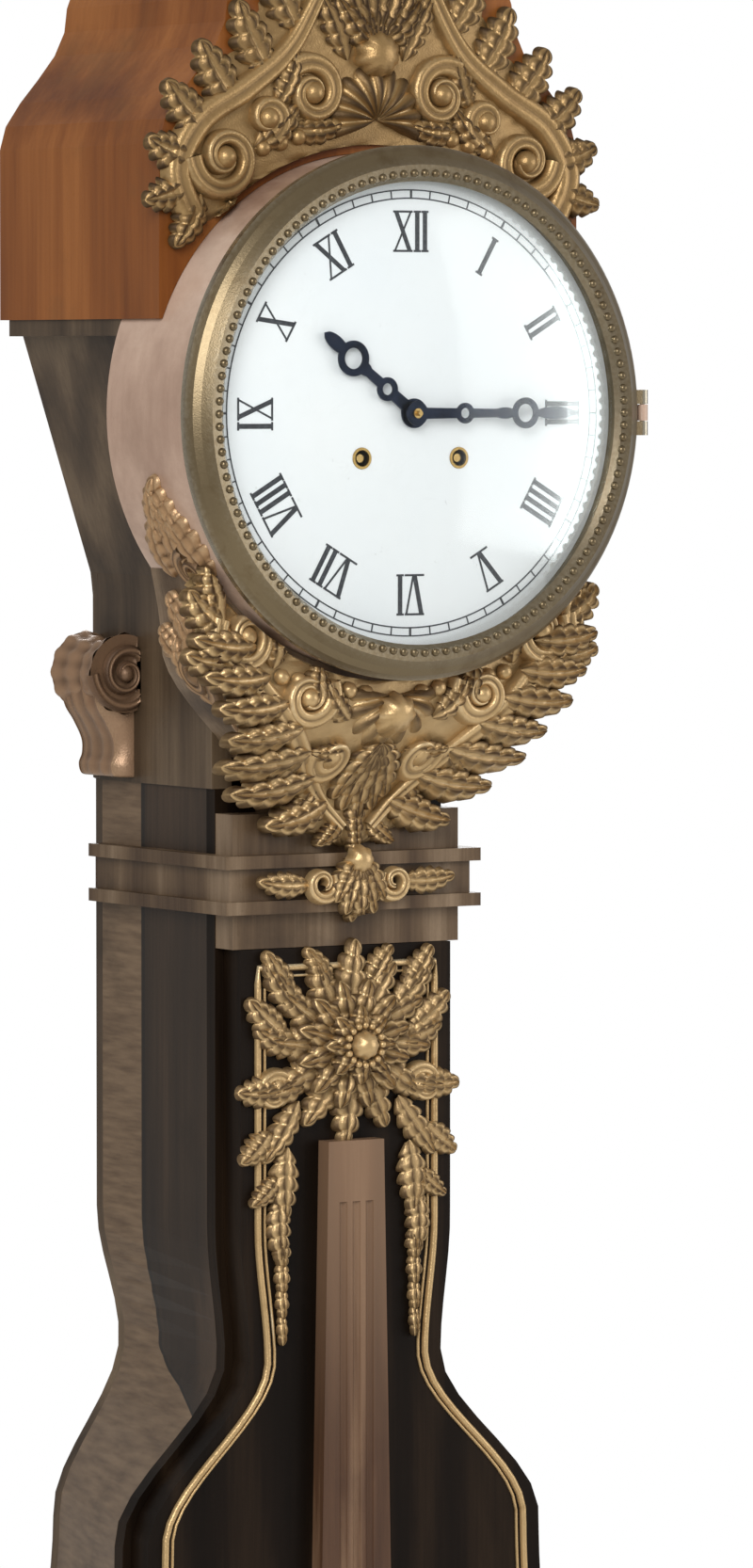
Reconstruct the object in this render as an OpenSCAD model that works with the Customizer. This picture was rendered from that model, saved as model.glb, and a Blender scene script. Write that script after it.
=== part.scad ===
// Pendulum longcase clock: a waisted case that carries a round drum head under a bell-shaped hood,
// with gilt mounts, a two-train spring movement and a seconds pendulum behind a glazed door.
// Front is -Y, up is +Z, and the origin is the centre of the plinth on the floor.

/* [Plinth and base] */
// Width of the plinth, the widest piece
plinth_w = 444; // [430:2:480]
// Depth of the plinth, which is the depth of the whole clock
plinth_d = 290; // [286:2:320]
// Height of the plinth's lower slab
plinth_h = 66; // [50:2:80]
// Height of the stepped moulding on the plinth
step_h = 30; // [20:2:40]
// Height of the base case's top, where the trunk starts
base_top_z = 590; // [570:5:600]
// Half width of the base case at its foot
foot_half = 196; // [180:2:200]
// How far the base case's foot stands back from the plinth's front
foot_margin = 27; // [18:1:60]

/* [Trunk] */
// Depth of the trunk, from the wall to the front of its door
trunk_d = 166; // [160:1:176]
// Thickness of the side boards and the hood's boards
board_t = 14; // [10:1:16]
// Thickness of the back board
back_t = 8; // [6:1:12]
// Height of the two holes for wall screws in the back board
wall_hole_z = 1520; // [1480:5:1540]
// Distance between the holes for wall screws
wall_hole_pitch = 60; // [40:2:80]
// Radius of the holes for wall screws
wall_hole_r = 3; // [2:0.25:4]
// Thickness of the front frame behind the door
frame_t = 10; // [8:1:12]
// Width of the front frame's stiles
stile_w = 28; // [24:1:32]
// Front half width of the trunk just above the base
ankle_half = 128; // [120:1:136]
// Rear half width there
ankle_rear_half = 112; // [104:1:120]
// Front half width of the belly
belly_half = 165; // [160:1:172]
// Rear half width of the belly
belly_rear_half = 146; // [144:1:152]
// Height of the shoulder above the belly
shoulder_z = 1100; // [1085:1:1112]
// Front half width of the shoulder
shoulder_half = 148; // [140:1:152]
// Rear half width of the shoulder
shoulder_rear_half = 114; // [106:1:122]
// Height of the waist
waist_z = 1208; // [1198:1:1222]
// Half width of the waist
waist_half = 75; // [73:1:80]
// How much narrower the waist is at the back
waist_taper = 9; // [4:1:9]
// Height where the neck reaches its width above the waist
neck_low_z = 1290; // [1280:5:1310]
// Half width of the neck
neck_half = 82; // [80:1:86]
// Height of the neck's top, where the head case starts
neck_top_z = 1560; // [1550:5:1570]

/* [Door] */
// Thickness of the trunk door
door_t = 20; // [16:1:24]
// Height of the door's lower edge
door_low_z = 596; // [592:1:604]
// Height of the door's upper edge
door_high_z = 1462; // [1450:1:1464]
// Margin of case that shows round the door
door_margin = 6; // [4:1:10]
// Radius of the window in front of the bob
window_r = 84; // [76:1:90]
// Radius of the gilt ring round the window
window_ring_r = 104; // [98:1:110]
// Half width of the pilaster at its top
pilaster_top_half = 20; // [16:1:24]
// Half width of the pilaster at its foot
pilaster_foot_half = 27; // [22:1:32]
// How far the pilaster stands out
pilaster_t = 12; // [8:1:16]
// Radius of the rosette at the pilaster's head
rosette_r = 66; // [60:1:68]
// Height of the keyhole above the window's ring
lock_rise = 38; // [34:1:50]
// Height of the lock case
lock_h = 50; // [40:2:60]
// Height of the two hinges above and below the window's centre
hinge_spread = 78; // [70:1:90]
// Height of each knuckle of the door's hinges
knuckle_h = 24; // [16:1:30]
// Radius of the door hinge's knuckles
knuckle_r = 4; // [3.5:0.5:4.5]
// Radius of the door hinge's pins
hinge_pin_r = 2; // [1.5:0.25:2.5]

/* [Head] */
// Height of the dial's centre
dial_z = 1790; // [1785:1:1800]
// Outer radius of the drum
drum_r = 158; // [156:1:160]
// Wall of the drum
drum_wall = 8; // [6:1:10]
// Distance from the trunk's front frame to the dial's face
drum_len = 94.4; // [90:0.2:98]
// Half width of the head case at its foot
head_low_half = 84; // [82:1:88]
// Half width of the head case under the hood
head_high_half = 137; // [133:1:139]
// How far the hood's front stands behind the dial's face
hood_setback = 45; // [40:1:55]
// Half width of the hood's straight sides
hood_half = 150; // [146:1:156]
// Height of the hood's foot above the dial's centre
hood_foot = 57; // [54:1:62]
// Height of the hood's shoulder above the dial's centre
hood_shoulder = 162; // [156:1:168]
// Height of the hood's throat above the dial's centre
hood_throat = 242; // [236:1:250]
// Half width of the hood at its throat
hood_throat_half = 103; // [98:1:108]
// Height of the hood's top above the dial's centre
hood_top = 325; // [315:1:335]
// Half width of the hood's top
hood_top_half = 68; // [60:1:76]
// Height of the finial
finial_h = 150; // [130:1:170]

/* [Gilt mounts] */
// Height of the crest over the drum
crest_h = 208; // [190:2:212]
// Half width of the crest
crest_w = 150; // [136:1:152]
// Height of the apron under the drum
apron_h = 176; // [150:2:180]
// Half width of the apron
apron_w = 147; // [130:1:150]
// Thickness of the mounts' ground
mount_t = 9; // [7:0.5:10]
// Half width of the corbel under the drum
corbel_w = 132; // [124:1:134]
// Radius of the scrolls at the sides of the head
ear_r = 24; // [20:1:26]
// How far the scrolls hang below the dial's centre
ear_drop = 162; // [155:1:180]
// Height of the mounts on the base's corners
foot_mount_h = 120; // [90:5:140]

/* [Dial and hands] */
// Overlap of the dial plate on the drum's wall
dial_lap = 1.7; // [0.5:0.1:1.8]
// Thickness of the dial plate
dial_t = 2.5; // [2:0.25:3]
// Distance from the bezel's opening to the circle of hour numerals
numeral_in = 30; // [26:1:40]
// Height of the hour numerals
numeral_h = 25; // [18:1:28]
// Distance from the bezel's opening to the minute track
track_in = 10; // [8:0.5:13]
// Distance from the minute hand's tip to the minute track
minute_tip = 15; // [8:1:30]
// Distance from the hour hand's tip to the minute track
hour_tip = 50; // [42:1:60]
// Minute that the hands show
shown_minute = 15; // [0:1:59]
// Hour that the hands show
shown_hour = 10; // [0:1:11]

/* [Bezel] */
// How far the bezel stands out beyond the drum
bezel_lip = 4; // [3.5:0.5:5]
// Depth of the bezel
bezel_d = 17; // [16:0.5:20]
// Width of the bezel, from its edge to its opening
bezel_w = 22; // [21:0.5:24]
// Height of the glass's dome
glass_rise = 18; // [14:1:22]
// Thickness of the glass
glass_t = 2; // [1.5:0.25:2.5]

/* [Movement] */
// Half width of the plates
plate_half = 76; // [75:1:80]
// Distance between the plates
plate_gap = 50; // [50:1:56]
// Thickness of the plates
plate_t = 3; // [2.5:0.25:3.5]
// Room between the dial plate and the front plate
motion_gap = 22.5; // [21:0.5:24]
// Height of the pendulum's pivot above the dial's centre
pivot_rise = 72; // [71:0.5:73]
// Radius of the spring barrels
barrel_r = 30; // [26:1:30.5]
// Teeth on the great wheels
great_teeth = 72; // [72]
// Module of the great wheels
great_mod = 1.05; // [1.05]
// Teeth on the pinions that the great wheels drive
great_pinion = 12; // [12]
// Teeth on the centre wheel
centre_teeth = 60; // [60]
// Module of the centre wheel
centre_mod = 0.9; // [0.9]
// Teeth on the third wheel
third_teeth = 64; // [64]
// Module of the third wheel
third_mod = 0.7; // [0.7]
// Leaves of the train's small pinions
small_pinion = 8; // [8]
// Teeth on the escape wheel
escape_teeth = 30; // [30]
// Radius of the escape wheel
escape_r = 18; // [16:0.5:18]
// Teeth on the pin wheel
pin_teeth = 64; // [64]
// Module of the pin wheel
pin_mod = 0.75; // [0.75]
// Radius of the bell
bell_r = 37; // [34:1:40]

/* [Pendulum] */
// Distance from the pivot to the middle of the bob, a seconds pendulum's
pendulum_len = 994; // [985:1:1000]
// Radius of the bob
bob_r = 90; // [80:1:92]
// Thickness of the bob
bob_t = 28; // [22:1:32]
// Distance between the pendulum's rods
rod_pitch = 7; // [6.5:0.25:8]
// Radius of the pendulum's rods
rod_r = 2.6; // [2.2:0.1:3]
// Place of the pendulum behind the trunk's front frame
pendulum_back = 30.6; // [29:0.2:34]

/* [Hidden] */
$fn = 96;

// Running clearance of a shaft in its hole
run = 0.05;
// Gap between pieces that move past each other
gap = 0.4;
// Height of one level of the curved case, and of the corbel
level = 15;
corbel_level = 10;

// Planes from back to front
back_y = plinth_d / 2;
board_y = back_y - back_t;
door_y = back_y - trunk_d;
frame_y = door_y + door_t + gap;
frame_back = frame_y + frame_t;
face_y = frame_y - drum_len;
hood_y = face_y + hood_setback;
front_plate_y = face_y + dial_t + motion_gap + plate_t;
back_plate_y = front_plate_y + plate_gap;
pendulum_y = frame_y + pendulum_back;

// Heights
plinth_top = plinth_h + step_h;
pivot_z = dial_z + pivot_rise;
bob_z = pivot_z - pendulum_len;
lock_z = bob_z + window_ring_r + lock_rise;
rosette_z = door_high_z - rosette_r + 6;
pilaster_top_z = rosette_z - 0.9 * rosette_r;
drum_cut = drum_r + 0.3;
hood_foot_z = dial_z + hood_foot;

// Rings round the dial's centre
bezel_r = drum_r + bezel_lip;
sight_r = bezel_r - bezel_w;
dial_r = drum_r - drum_wall + dial_lap;
track_r = sight_r - track_in;
numeral_r = sight_r - numeral_in;
minute_hand_len = track_r - minute_tip;
hour_hand_len = track_r - hour_tip;

function ease(t) = t * t * (3 - 2 * t);
// Smooth curve through [height, value] stations, level at each of them
function curve(list, z) =
    z <= list[0][0] ? list[0][1] :
    z >= list[len(list) - 1][0] ? list[len(list) - 1][1] :
    let (k = [for (i = [0:len(list) - 2]) if (z < list[i + 1][0]) i][0])
    let (t = (z - list[k][0]) / (list[k + 1][0] - list[k][0]))
    list[k][1] + (list[k + 1][1] - list[k][1]) * ease(t);

front_stations = [[plinth_top, foot_half], [base_top_z, ankle_half], [bob_z, belly_half],
    [shoulder_z, shoulder_half], [waist_z, waist_half], [neck_low_z, neck_half]];
rear_stations = [[plinth_top, foot_half - 12], [base_top_z, ankle_rear_half], [bob_z, belly_rear_half],
    [shoulder_z, shoulder_rear_half], [waist_z, waist_half - waist_taper], [neck_low_z, neck_half]];
function front_half(z) = curve(front_stations, z);
function rear_half(z) = curve(rear_stations, z);
function base_front(z) = curve([[plinth_top, foot_margin - plinth_d / 2], [base_top_z, door_y]], z);
// Head case: straight up from the neck, then leaning out under the hood
lean_z = dial_z - 0.65 * bezel_r;
function head_half(z) = z <= lean_z ? head_low_half :
    head_low_half + (head_high_half - head_low_half) * (z - lean_z) / (hood_foot_z - lean_z);
function cap_half(z) = curve([[dial_z + hood_shoulder, hood_half], [dial_z + hood_throat, hood_throat_half],
    [dial_z + hood_top, hood_top_half]], z);
// Front of the corbel that carries the drum, and its half width
corbel_low_z = neck_top_z - 15;
corbel_high_z = dial_z - 0.37 * bezel_r;
function corbel_front(z) = curve([[corbel_low_z, door_y], [dial_z - 1.08 * bezel_r, face_y + 0.29 * drum_len]], z);
function corbel_half(z) = curve([[corbel_low_z, 0.4 * corbel_w], [dial_z - 0.86 * bezel_r, 0.91 * corbel_w],
    [corbel_high_z, corbel_w]], z);

// Heights from one to another in even levels
function levels(z0, z1, step = level) =
    let (n = max(1, ceil((z1 - z0) / step)))
    [for (i = [0:n]) z0 + (z1 - z0) * i / n];

// Solid through level sections, each a list of [x, y] that runs anticlockwise seen from above
module loft(zs, sections, caps) {
    n = len(sections[0]);
    points = [for (i = [0:len(zs) - 1]) for (p = sections[i]) [p[0], p[1], zs[i]]];
    walls = [for (i = [0:len(zs) - 2]) for (k = [0:n - 1])
        let (a = i * n + k, b = i * n + (k + 1) % n)
        each [[a, a + n, b + n], [a, b + n, b]]];
    top = (len(zs) - 1) * n;
    lids = [for (c = caps) each [c, [for (k = [len(c) - 1:-1:0]) c[k] + top]]];
    polyhedron(points, concat(walls, lids));
}

// Plate in the X and Z plane with its back at y, drawn in X and height
module upright(y, t) {
    translate([0, y, 0]) rotate([90, 0, 0]) linear_extrude(t) children();
}

// The same, drawn round the dial's centre
module on_dial(y, t) {
    translate([0, y, dial_z]) rotate([90, 0, 0]) linear_extrude(t) children();
}

// Outline with equal half widths left and right at a list of heights
module waisted(zs, halves) {
    n = len(zs) - 1;
    polygon([for (i = [0:n]) [halves[i], zs[i]], for (i = [n:-1:0]) [-halves[i], zs[i]]]);
}

// Rod along Y round a point of the dial plane, from the back forwards
module rod_y(y0, y1, r, at = [0, 0]) {
    translate([at[0], y0, dial_z + at[1]]) rotate([90, 0, 0]) cylinder(h = y0 - y1, r = r);
}

// Pointed leaf outline along +Y
module leaf_shape(length, width) {
    n = 10;
    function side(i) = width / 2 * sqrt(sin(180 * i / n));
    polygon([for (i = [0:n]) [side(i), length * i / n], for (i = [n - 1:-1:1]) [-side(i), length * i / n]]);
}

// Spiral band that starts at radius r and winds inwards
module volute(r, turns, band) {
    steps = 18 * turns;
    function at(i) = r * (1 - 0.72 * i / steps);
    polygon([for (i = [0:steps]) (at(i)) * [cos(20 * i), sin(20 * i)],
        for (i = [steps:-1:0]) (at(i) - band * (1 - 0.5 * i / steps)) * [cos(20 * i), sin(20 * i)]]);
}

module plinth() {
    color("#4a3020") {
        translate([-plinth_w / 2, -plinth_d / 2, 0]) cube([plinth_w, plinth_d, plinth_h]);
        for (i = [0:2]) {
            inset = 5 + 5 * i;
            translate([inset - plinth_w / 2, inset - plinth_d / 2, plinth_h + i * step_h / 3])
                cube([plinth_w - 2 * inset, plinth_d - inset, step_h / 3]);
        }
    }
}

module base_case() {
    zs = levels(plinth_top, base_top_z);
    color("#3c2a1c") loft(zs, [for (z = zs)
        let (f = front_half(z), r = rear_half(z), y = base_front(z), t = board_t)
        [[-r, board_y], [-f, y], [f, y], [r, board_y],
            [r - t, board_y], [f - t, y + t], [t - f, y + t], [t - r, board_y]]],
        [[0, 1, 6, 7], [1, 2, 5, 6], [2, 3, 4, 5]]);
}

module trunk_side() {
    zs = levels(base_top_z, neck_top_z);
    color("#5e5548") loft(zs, [for (z = zs)
        let (f = front_half(z), r = rear_half(z))
        [[f - board_t, frame_back], [f, frame_back], [r, board_y], [r - board_t, board_y]]],
        [[0, 1, 2, 3]]);
}
module trunk_side_right() { trunk_side(); }
module trunk_side_left() { mirror([1, 0, 0]) trunk_side(); }

module trunk_front_frame() {
    zs = levels(base_top_z, neck_top_z);
    open_zs = levels(door_low_z + stile_w, door_high_z - stile_w);
    color("#2f2418") upright(frame_back, frame_t) difference() {
        waisted(zs, [for (z = zs) front_half(z)]);
        waisted(open_zs, [for (z = open_zs) front_half(z) - stile_w]);
    }
}

module back_board() {
    zs = concat(levels(plinth_top, neck_top_z), levels(neck_top_z + 1, hood_foot_z));
    color("#4d3c2a") difference() {
        upright(back_y, back_t)
            waisted(zs, [for (z = zs) z <= neck_top_z ? rear_half(z) : head_half(z)]);
        for (side = [-1, 1]) translate([side * wall_hole_pitch / 2, back_y + 1, wall_hole_z])
            rotate([90, 0, 0]) cylinder(h = back_t + 2, r = wall_hole_r);
    }
}

module neck_panel() {
    color("#3a2c1e") translate([gap - neck_half, door_y, door_high_z + gap])
        cube([2 * (neck_half - gap), frame_y - door_y, corbel_low_z - door_high_z - gap]);
}

module neck_moulding() {
    tall = 36;
    low = apron_low_z - tall - 1.5;
    module ring(z0, h, out) {
        difference() {
            translate([-neck_half - out, door_y - out, z0]) cube([2 * (neck_half + out), trunk_d - back_t + out, h]);
            translate([-neck_half - 0.1, door_y, z0 - 1]) cube([2 * neck_half + 0.2, trunk_d, h + 2]);
        }
    }
    color("#7d6b48") union() {
        ring(low, tall, 5);
        ring(low, 8, 10);
        ring(low + tall - 8, 8, 10);
    }
}

corbel_zs = levels(corbel_low_z, corbel_high_z, corbel_level);
module drum_corbel() {
    color("#4a3624") difference() {
        loft(corbel_zs, [for (z = corbel_zs) let (w = corbel_half(z), y = corbel_front(z))
            [[-w, frame_y], [-w, y], [w, y], [w, frame_y]]], [[0, 1, 2, 3]]);
        rod_y(frame_y + 1, face_y - 1, drum_cut);
    }
}

module head_case() {
    zs = levels(neck_top_z, hood_foot_z);
    color("#45382c") union() {
        upright(board_y, board_y - frame_y) difference() {
            waisted(zs, [for (z = zs) head_half(z)]);
            waisted(concat(zs, [hood_foot_z + 1]),
                [for (z = concat(zs, [hood_foot_z])) head_half(z) - board_t]);
        }
        for (side = [0, 1]) mirror([side, 0, 0]) translate([head_high_half - 8, frame_y, hood_foot_z - 10])
            cube([hood_half - head_high_half + 6, board_y - frame_y, 10]);
    }
}

module hood_cap() {
    top_z = dial_z + hood_top;
    zs = concat([hood_foot_z], levels(dial_z + hood_shoulder, top_z));
    in_zs = concat([hood_foot_z - 1], levels(dial_z + hood_shoulder, top_z - board_t));
    color("#7d5029") difference() {
        upright(back_y, back_y - hood_y) waisted(zs, [for (z = zs) cap_half(z)]);
        upright(board_y, board_y - hood_y - board_t) waisted(in_zs, [for (z = in_zs) cap_half(z) - board_t]);
        rod_y(frame_y, hood_y - 1, drum_cut);
    }
}

// Half width of the gilt crest over the drum
crest_low_z = dial_z + bezel_r - 50;
crest_high_z = crest_low_z + crest_h;
function crest_half(z) = crest_w * curve([[0, 0.98], [0.22, 0.96], [0.42, 0.8], [0.62, 0.6], [0.84, 0.3], [1, 0.05]],
    (z - crest_low_z) / crest_h);
module crest_mount() {
    zs = levels(crest_low_z, crest_high_z, 6);
    front = hood_y - mount_t;
    color("#8a6f3c") difference() {
        union() {
            upright(hood_y, mount_t)
                waisted(zs, [for (i = [0:len(zs) - 1]) crest_half(zs[i]) + 4 * (i % 2)]);
            for (side = [-1, 1]) translate([side * 0.53 * crest_w, front, crest_low_z + 0.36 * crest_h])
                rotate([90, 0, 0]) linear_extrude(7) mirror([side > 0 ? 1 : 0, 0])
                    volute(0.22 * crest_w, 2, 0.07 * crest_w);
            translate([0, front, crest_low_z + 0.47 * crest_h]) rotate([90, 0, 0]) linear_extrude(mount_t) {
                circle(9);
                for (turn = [-50:25:50]) rotate(turn) leaf_shape(0.31 * crest_h, 20);
            }
            translate([0, front, crest_low_z + 0.45 * crest_h]) sphere(15);
        }
        rod_y(frame_y, face_y - bezel_d, bezel_r + 1);
        translate([-crest_w, hood_y, crest_low_z]) cube([2 * crest_w, 20, crest_h]);
    }
}

module finial() {
    color("#96783f") translate([0, (board_y + hood_y) / 2, dial_z + hood_top]) rotate_extrude()
        polygon([[0, 0], [34, 0], [34, 8], [18, 14], [12, 26], [22, 34], [34, 50], [36, 64], [28, 76],
            [16, 82], [18, 88], [24, 92], [16, 104], [20, 116], [12, 132], [0, finial_h]]);
}

module drum_shell() {
    inner = drum_r - drum_wall;
    seat_z = -pivot_rise;
    color("#b59f8a") union() {
        difference() {
            rod_y(frame_y, face_y, drum_r);
            rod_y(frame_y - drum_wall, face_y - 1, inner - 2);
            rod_y(face_y + dial_t, face_y - 1, dial_r + 0.1);
            rod_y(frame_y + 1, frame_y - drum_wall - 1, 100);
        }
        intersection() {
            rod_y(frame_y, face_y + 10, inner);
            for (side = [0, 1]) mirror([side, 0, 0]) translate([seat_half - 25, face_y + 11, dial_z + seat_z - 24])
                cube([drum_r - seat_half, drum_len - 22, 12]);
        }
        // Knuckle and pin that the bezel swings on
        translate([drum_r - 1, bezel_hinge_y + bezel_knuckle_r + 0.3, dial_z - 5])
            cube([bezel_hinge_x + 2 - drum_r + 1, 9, 10]);
        translate([bezel_hinge_x, bezel_hinge_y, dial_z - 5]) cylinder(h = 10, r = bezel_knuckle_r);
        translate([bezel_hinge_x - 2, bezel_hinge_y, dial_z - 5]) cube([4, 8, 10]);
        translate([bezel_hinge_x, bezel_hinge_y, dial_z - 14]) cylinder(h = 28, r = 1.5);
    }
}
bezel_knuckle_r = 3.5;
bezel_hinge_x = bezel_r + bezel_knuckle_r + 1;
bezel_hinge_y = face_y - gap - bezel_knuckle_r;
seat_half = 0.74 * (drum_r - drum_wall);

module seat_board() {
    color("#6b4a2e") translate([-seat_half, face_y + 12, dial_z - pivot_rise - 12])
        cube([2 * seat_half, drum_len - 24, 12]);
}

// Half width of the gilt apron under the drum
apron_high_z = dial_z - 0.57 * bezel_r;
apron_low_z = apron_high_z - apron_h;
function apron_half(z) = apron_w * curve([[0, 0.03], [0.09, 0.29], [0.25, 0.57], [0.5, 0.76], [0.73, 0.98], [1, 1]],
    (z - apron_low_z) / apron_h);
module apron_mount() {
    zs = concat([apron_low_z, (apron_low_z + corbel_low_z) / 2], [for (z = corbel_zs) if (z < apron_high_z) z]);
    relief_y = face_y + 20;
    boss_z = apron_low_z + 0.52 * apron_h;
    color("#96784a") difference() {
        union() {
            loft(zs, [for (i = [0:len(zs) - 1])
                let (w = apron_half(zs[i]) + 4 * (i % 2), y = corbel_front(zs[i]) - 0.1)
                [[-w, y], [-w, y - mount_t - 1], [w, y - mount_t - 1], [w, y]]], [[0, 1, 2, 3]]);
            for (side = [-1, 1]) translate([side * 0.57 * apron_w, relief_y, apron_low_z + 0.66 * apron_h])
                rotate([90, 0, 0]) linear_extrude(12) mirror([side > 0 ? 1 : 0, 0])
                    volute(0.16 * apron_w, 2, 0.055 * apron_w);
            translate([0, relief_y, boss_z]) rotate([90, 0, 0]) linear_extrude(12) {
                circle(9);
                for (turn = [105:25:255]) rotate(turn) leaf_shape(0.25 * apron_h, 17);
            }
            translate([0, relief_y - 6, boss_z]) sphere(12);
        }
        rod_y(frame_y, face_y - bezel_d, bezel_r + 1);
    }
}

// Gilt leaves on the flanks of the corbel, below the height where the drum starts to cover them
drum_foot_z = dial_z - 0.79 * bezel_r;
module side_mounts() {
    zs = [for (z = corbel_zs) if (z > corbel_low_z + 4 * corbel_level && z < drum_foot_z) z];
    n = len(zs) - 1;
    color("#8f7145") for (side = [0, 1]) mirror([side, 0, 0])
        loft(zs, [for (i = [0:n])
            let (x = corbel_half(zs[i]) + 0.1, y = corbel_front(zs[i]) + 1, w = 6 + (i + 3 * (i % 2)) * 2)
            [[x, min(y + w, frame_y - 2)], [x, y], [x + 6, y], [x + 6, min(y + w, frame_y - 2)]]], [[0, 1, 2, 3]]);
}

ear_z = dial_z - ear_drop;
// Each scroll and the bracket that tapers down from it
module ear_scrolls() {
    tail = ear_z - neck_top_z - 3;
    color("#6d5138") for (side = [0, 1]) mirror([side, 0, 0]) difference() {
        translate([head_low_half, board_y, ear_z]) rotate([90, 0, 0]) {
            translate([0.4 * ear_r, 0]) cylinder(h = 2 * ear_r, r = ear_r);
            translate([0.4 * ear_r, 0, 2 * ear_r]) cylinder(h = 4, r = 0.65 * ear_r);
            linear_extrude(1.8 * ear_r) polygon([[-5, 0], [-5, -tail], [0.5 * ear_r, -tail],
                [0.66 * ear_r, -0.86 * tail], [0.55 * ear_r, -0.66 * tail], [ear_r, -0.9 * ear_r], [1.3 * ear_r, 0]]);
        }
        translate([-head_low_half - 0.1, frame_y, neck_top_z])
            cube([2 * head_low_half + 0.2, trunk_d, dial_z - neck_top_z]);
    }
}

module foot_mounts() {
    zs = levels(plinth_top, plinth_top + foot_mount_h, 10);
    color("#8f7145") for (side = [-1, 1]) {
        loft(zs, [for (i = [0:len(zs) - 1])
            let (z = zs[i], w = 58 - 46 * i / (len(zs) - 1), f = front_half(z), y = base_front(z) - 0.1)
            side > 0 ? [[f - w, y], [f - w, y - 7], [f, y - 7], [f, y]] :
            [[-f, y], [-f, y - 7], [w - f, y - 7], [w - f, y]]], [[0, 1, 2, 3]]);
    }
}

// The winding arbors' places round the dial's centre
great_distance = great_mod * (great_teeth + great_pinion) / 2;
wind_at = great_distance * [cos(38), -sin(38)];
strike_at = [-wind_at[0], wind_at[1]];

module dial_plate() {
    color("#f2f5f4") on_dial(face_y + dial_t, dial_t) difference() {
        circle(dial_r);
        circle(5.5);
        for (at = [wind_at, strike_at]) translate(at) circle(6.6);
    }
}

numerals = ["XII", "I", "II", "III", "IIII", "V", "VI", "VII", "VIII", "IX", "X", "XI"];
function letter_w(c) = numeral_h * (c == "I" ? 0.22 : 0.6);
function width_to(word, k) = k == 0 ? 0 : letter_w(word[k - 1]) + width_to(word, k - 1);
module letter(c) {
    w = letter_w(c);
    h = numeral_h;
    thick = 0.12 * h;
    thin = 0.05 * h;
    if (c == "I") translate([w / 2 - thick / 2, 0]) square([thick, h]);
    if (c == "V") {
        polygon([[0.06 * w, h], [0.06 * w + thick, h], [w / 2 + thick / 2, 0], [w / 2 - thick / 2, 0]]);
        polygon([[0.94 * w - thin, h], [0.94 * w, h], [w / 2 + thin, 0], [w / 2, 0]]);
    }
    if (c == "X") {
        polygon([[0.06 * w, h], [0.06 * w + thick, h], [0.94 * w, 0], [0.94 * w - thick, 0]]);
        polygon([[0.94 * w - thin, h], [0.94 * w, h], [0.06 * w + thin, 0], [0.06 * w, 0]]);
    }
    for (z = [0, h - thin]) translate([0.04 * w, z]) square([0.92 * w, thin]);
}
module dial_numerals() {
    color("#202226") on_dial(face_y, 0.3) {
        for (hour = [0:11]) rotate(-30 * hour) {
            word = numerals[hour];
            wide = width_to(word, len(word));
            translate([-wide / 2, numeral_r - numeral_h / 2])
                for (k = [0:len(word) - 1]) translate([width_to(word, k), 0]) letter(word[k]);
        }
        for (r = [track_r, track_r + 5]) difference() {
            circle(r + 0.4);
            circle(r - 0.4);
        }
        for (minute = [0:59]) rotate(-6 * minute) translate([-0.4, track_r])
            square([minute % 5 == 0 ? 1.4 : 0.8, 5]);
    }
}

module winding_collars() {
    color("#b08d4a") for (at = [wind_at, strike_at]) difference() {
        rod_y(face_y + dial_t, face_y - 0.6, 6.5, at);
        rod_y(face_y + dial_t + 1, face_y - 2, 5, at);
    }
}

// Door hinges: the case holds the lower knuckle and the pin, the door the upper knuckle
door_edge = belly_half - door_margin;
hinge_x = belly_half + knuckle_r + 1.5;
hinge_y = door_y - 1;
hinge_zs = [bob_z - hinge_spread, bob_z + hinge_spread];
module door_hinge_case() {
    tall = knuckle_h - gap / 2;
    color("#a5874c") for (z = hinge_zs) translate([0, 0, z - knuckle_h]) {
        side_x = max(front_half(z), front_half(z - knuckle_h)) + 0.1;
        translate([hinge_x, hinge_y, 0]) cylinder(h = tall, r = knuckle_r);
        translate([hinge_x, hinge_y, 0]) cylinder(h = 2 * knuckle_h, r = hinge_pin_r);
        translate([hinge_x - 1.5, hinge_y, 0]) cube([3, frame_back - hinge_y, tall]);
        translate([side_x, frame_y, 0]) cube([hinge_x - side_x, frame_t, tall]);
    }
}
module door_hinge_leaf() {
    tall = knuckle_h - gap / 2;
    color("#a5874c") for (z = hinge_zs) difference() {
        union() {
            translate([hinge_x, hinge_y, z + gap / 2]) cylinder(h = tall, r = knuckle_r);
            translate([door_edge - 24, door_y - 2, z + gap / 2]) cube([hinge_x - door_edge + 24, 2, tall]);
        }
        translate([hinge_x, hinge_y, z - 1]) cylinder(h = knuckle_h + 2, r = hinge_pin_r + run);
    }
}

// Key: radius of its shank, thickness of its bit and how far the bit reaches from the axis
shank_r = 2.4;
bit_t = 2;
bit_reach = 9;
// Keyhole outline: a round for the shank over a slot for the bit
module keyhole(clear) {
    slot = bit_t + 0.6;
    circle(shank_r + clear);
    translate([-slot / 2, -bit_reach - 0.3]) square([slot, bit_reach]);
}
module trunk_door() {
    zs = levels(door_low_z, door_high_z);
    back = door_y + door_t;
    color("#33271b") difference() {
        upright(back, door_t) waisted(zs, [for (z = zs) front_half(z) - door_margin]);
        translate([0, back + 1, bob_z]) rotate([90, 0, 0]) cylinder(h = door_t + 2, r = window_r);
        translate([0, back + 1, bob_z]) rotate([90, 0, 0]) cylinder(h = glass_seat + 1, r = window_r + 7);
        upright(back + 1, door_t + 2) translate([-lock_x, lock_z]) keyhole(1);
    }
}

// Depth of the seat that the window's glass lies in, from the back of the door
glass_seat = 6;
module window_glass() {
    color([0.8, 0.9, 0.9, 0.35]) translate([0, door_y + door_t - glass_seat + 3, bob_z]) rotate([90, 0, 0])
        cylinder(h = 3, r = window_r + 6.8);
}

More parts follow.
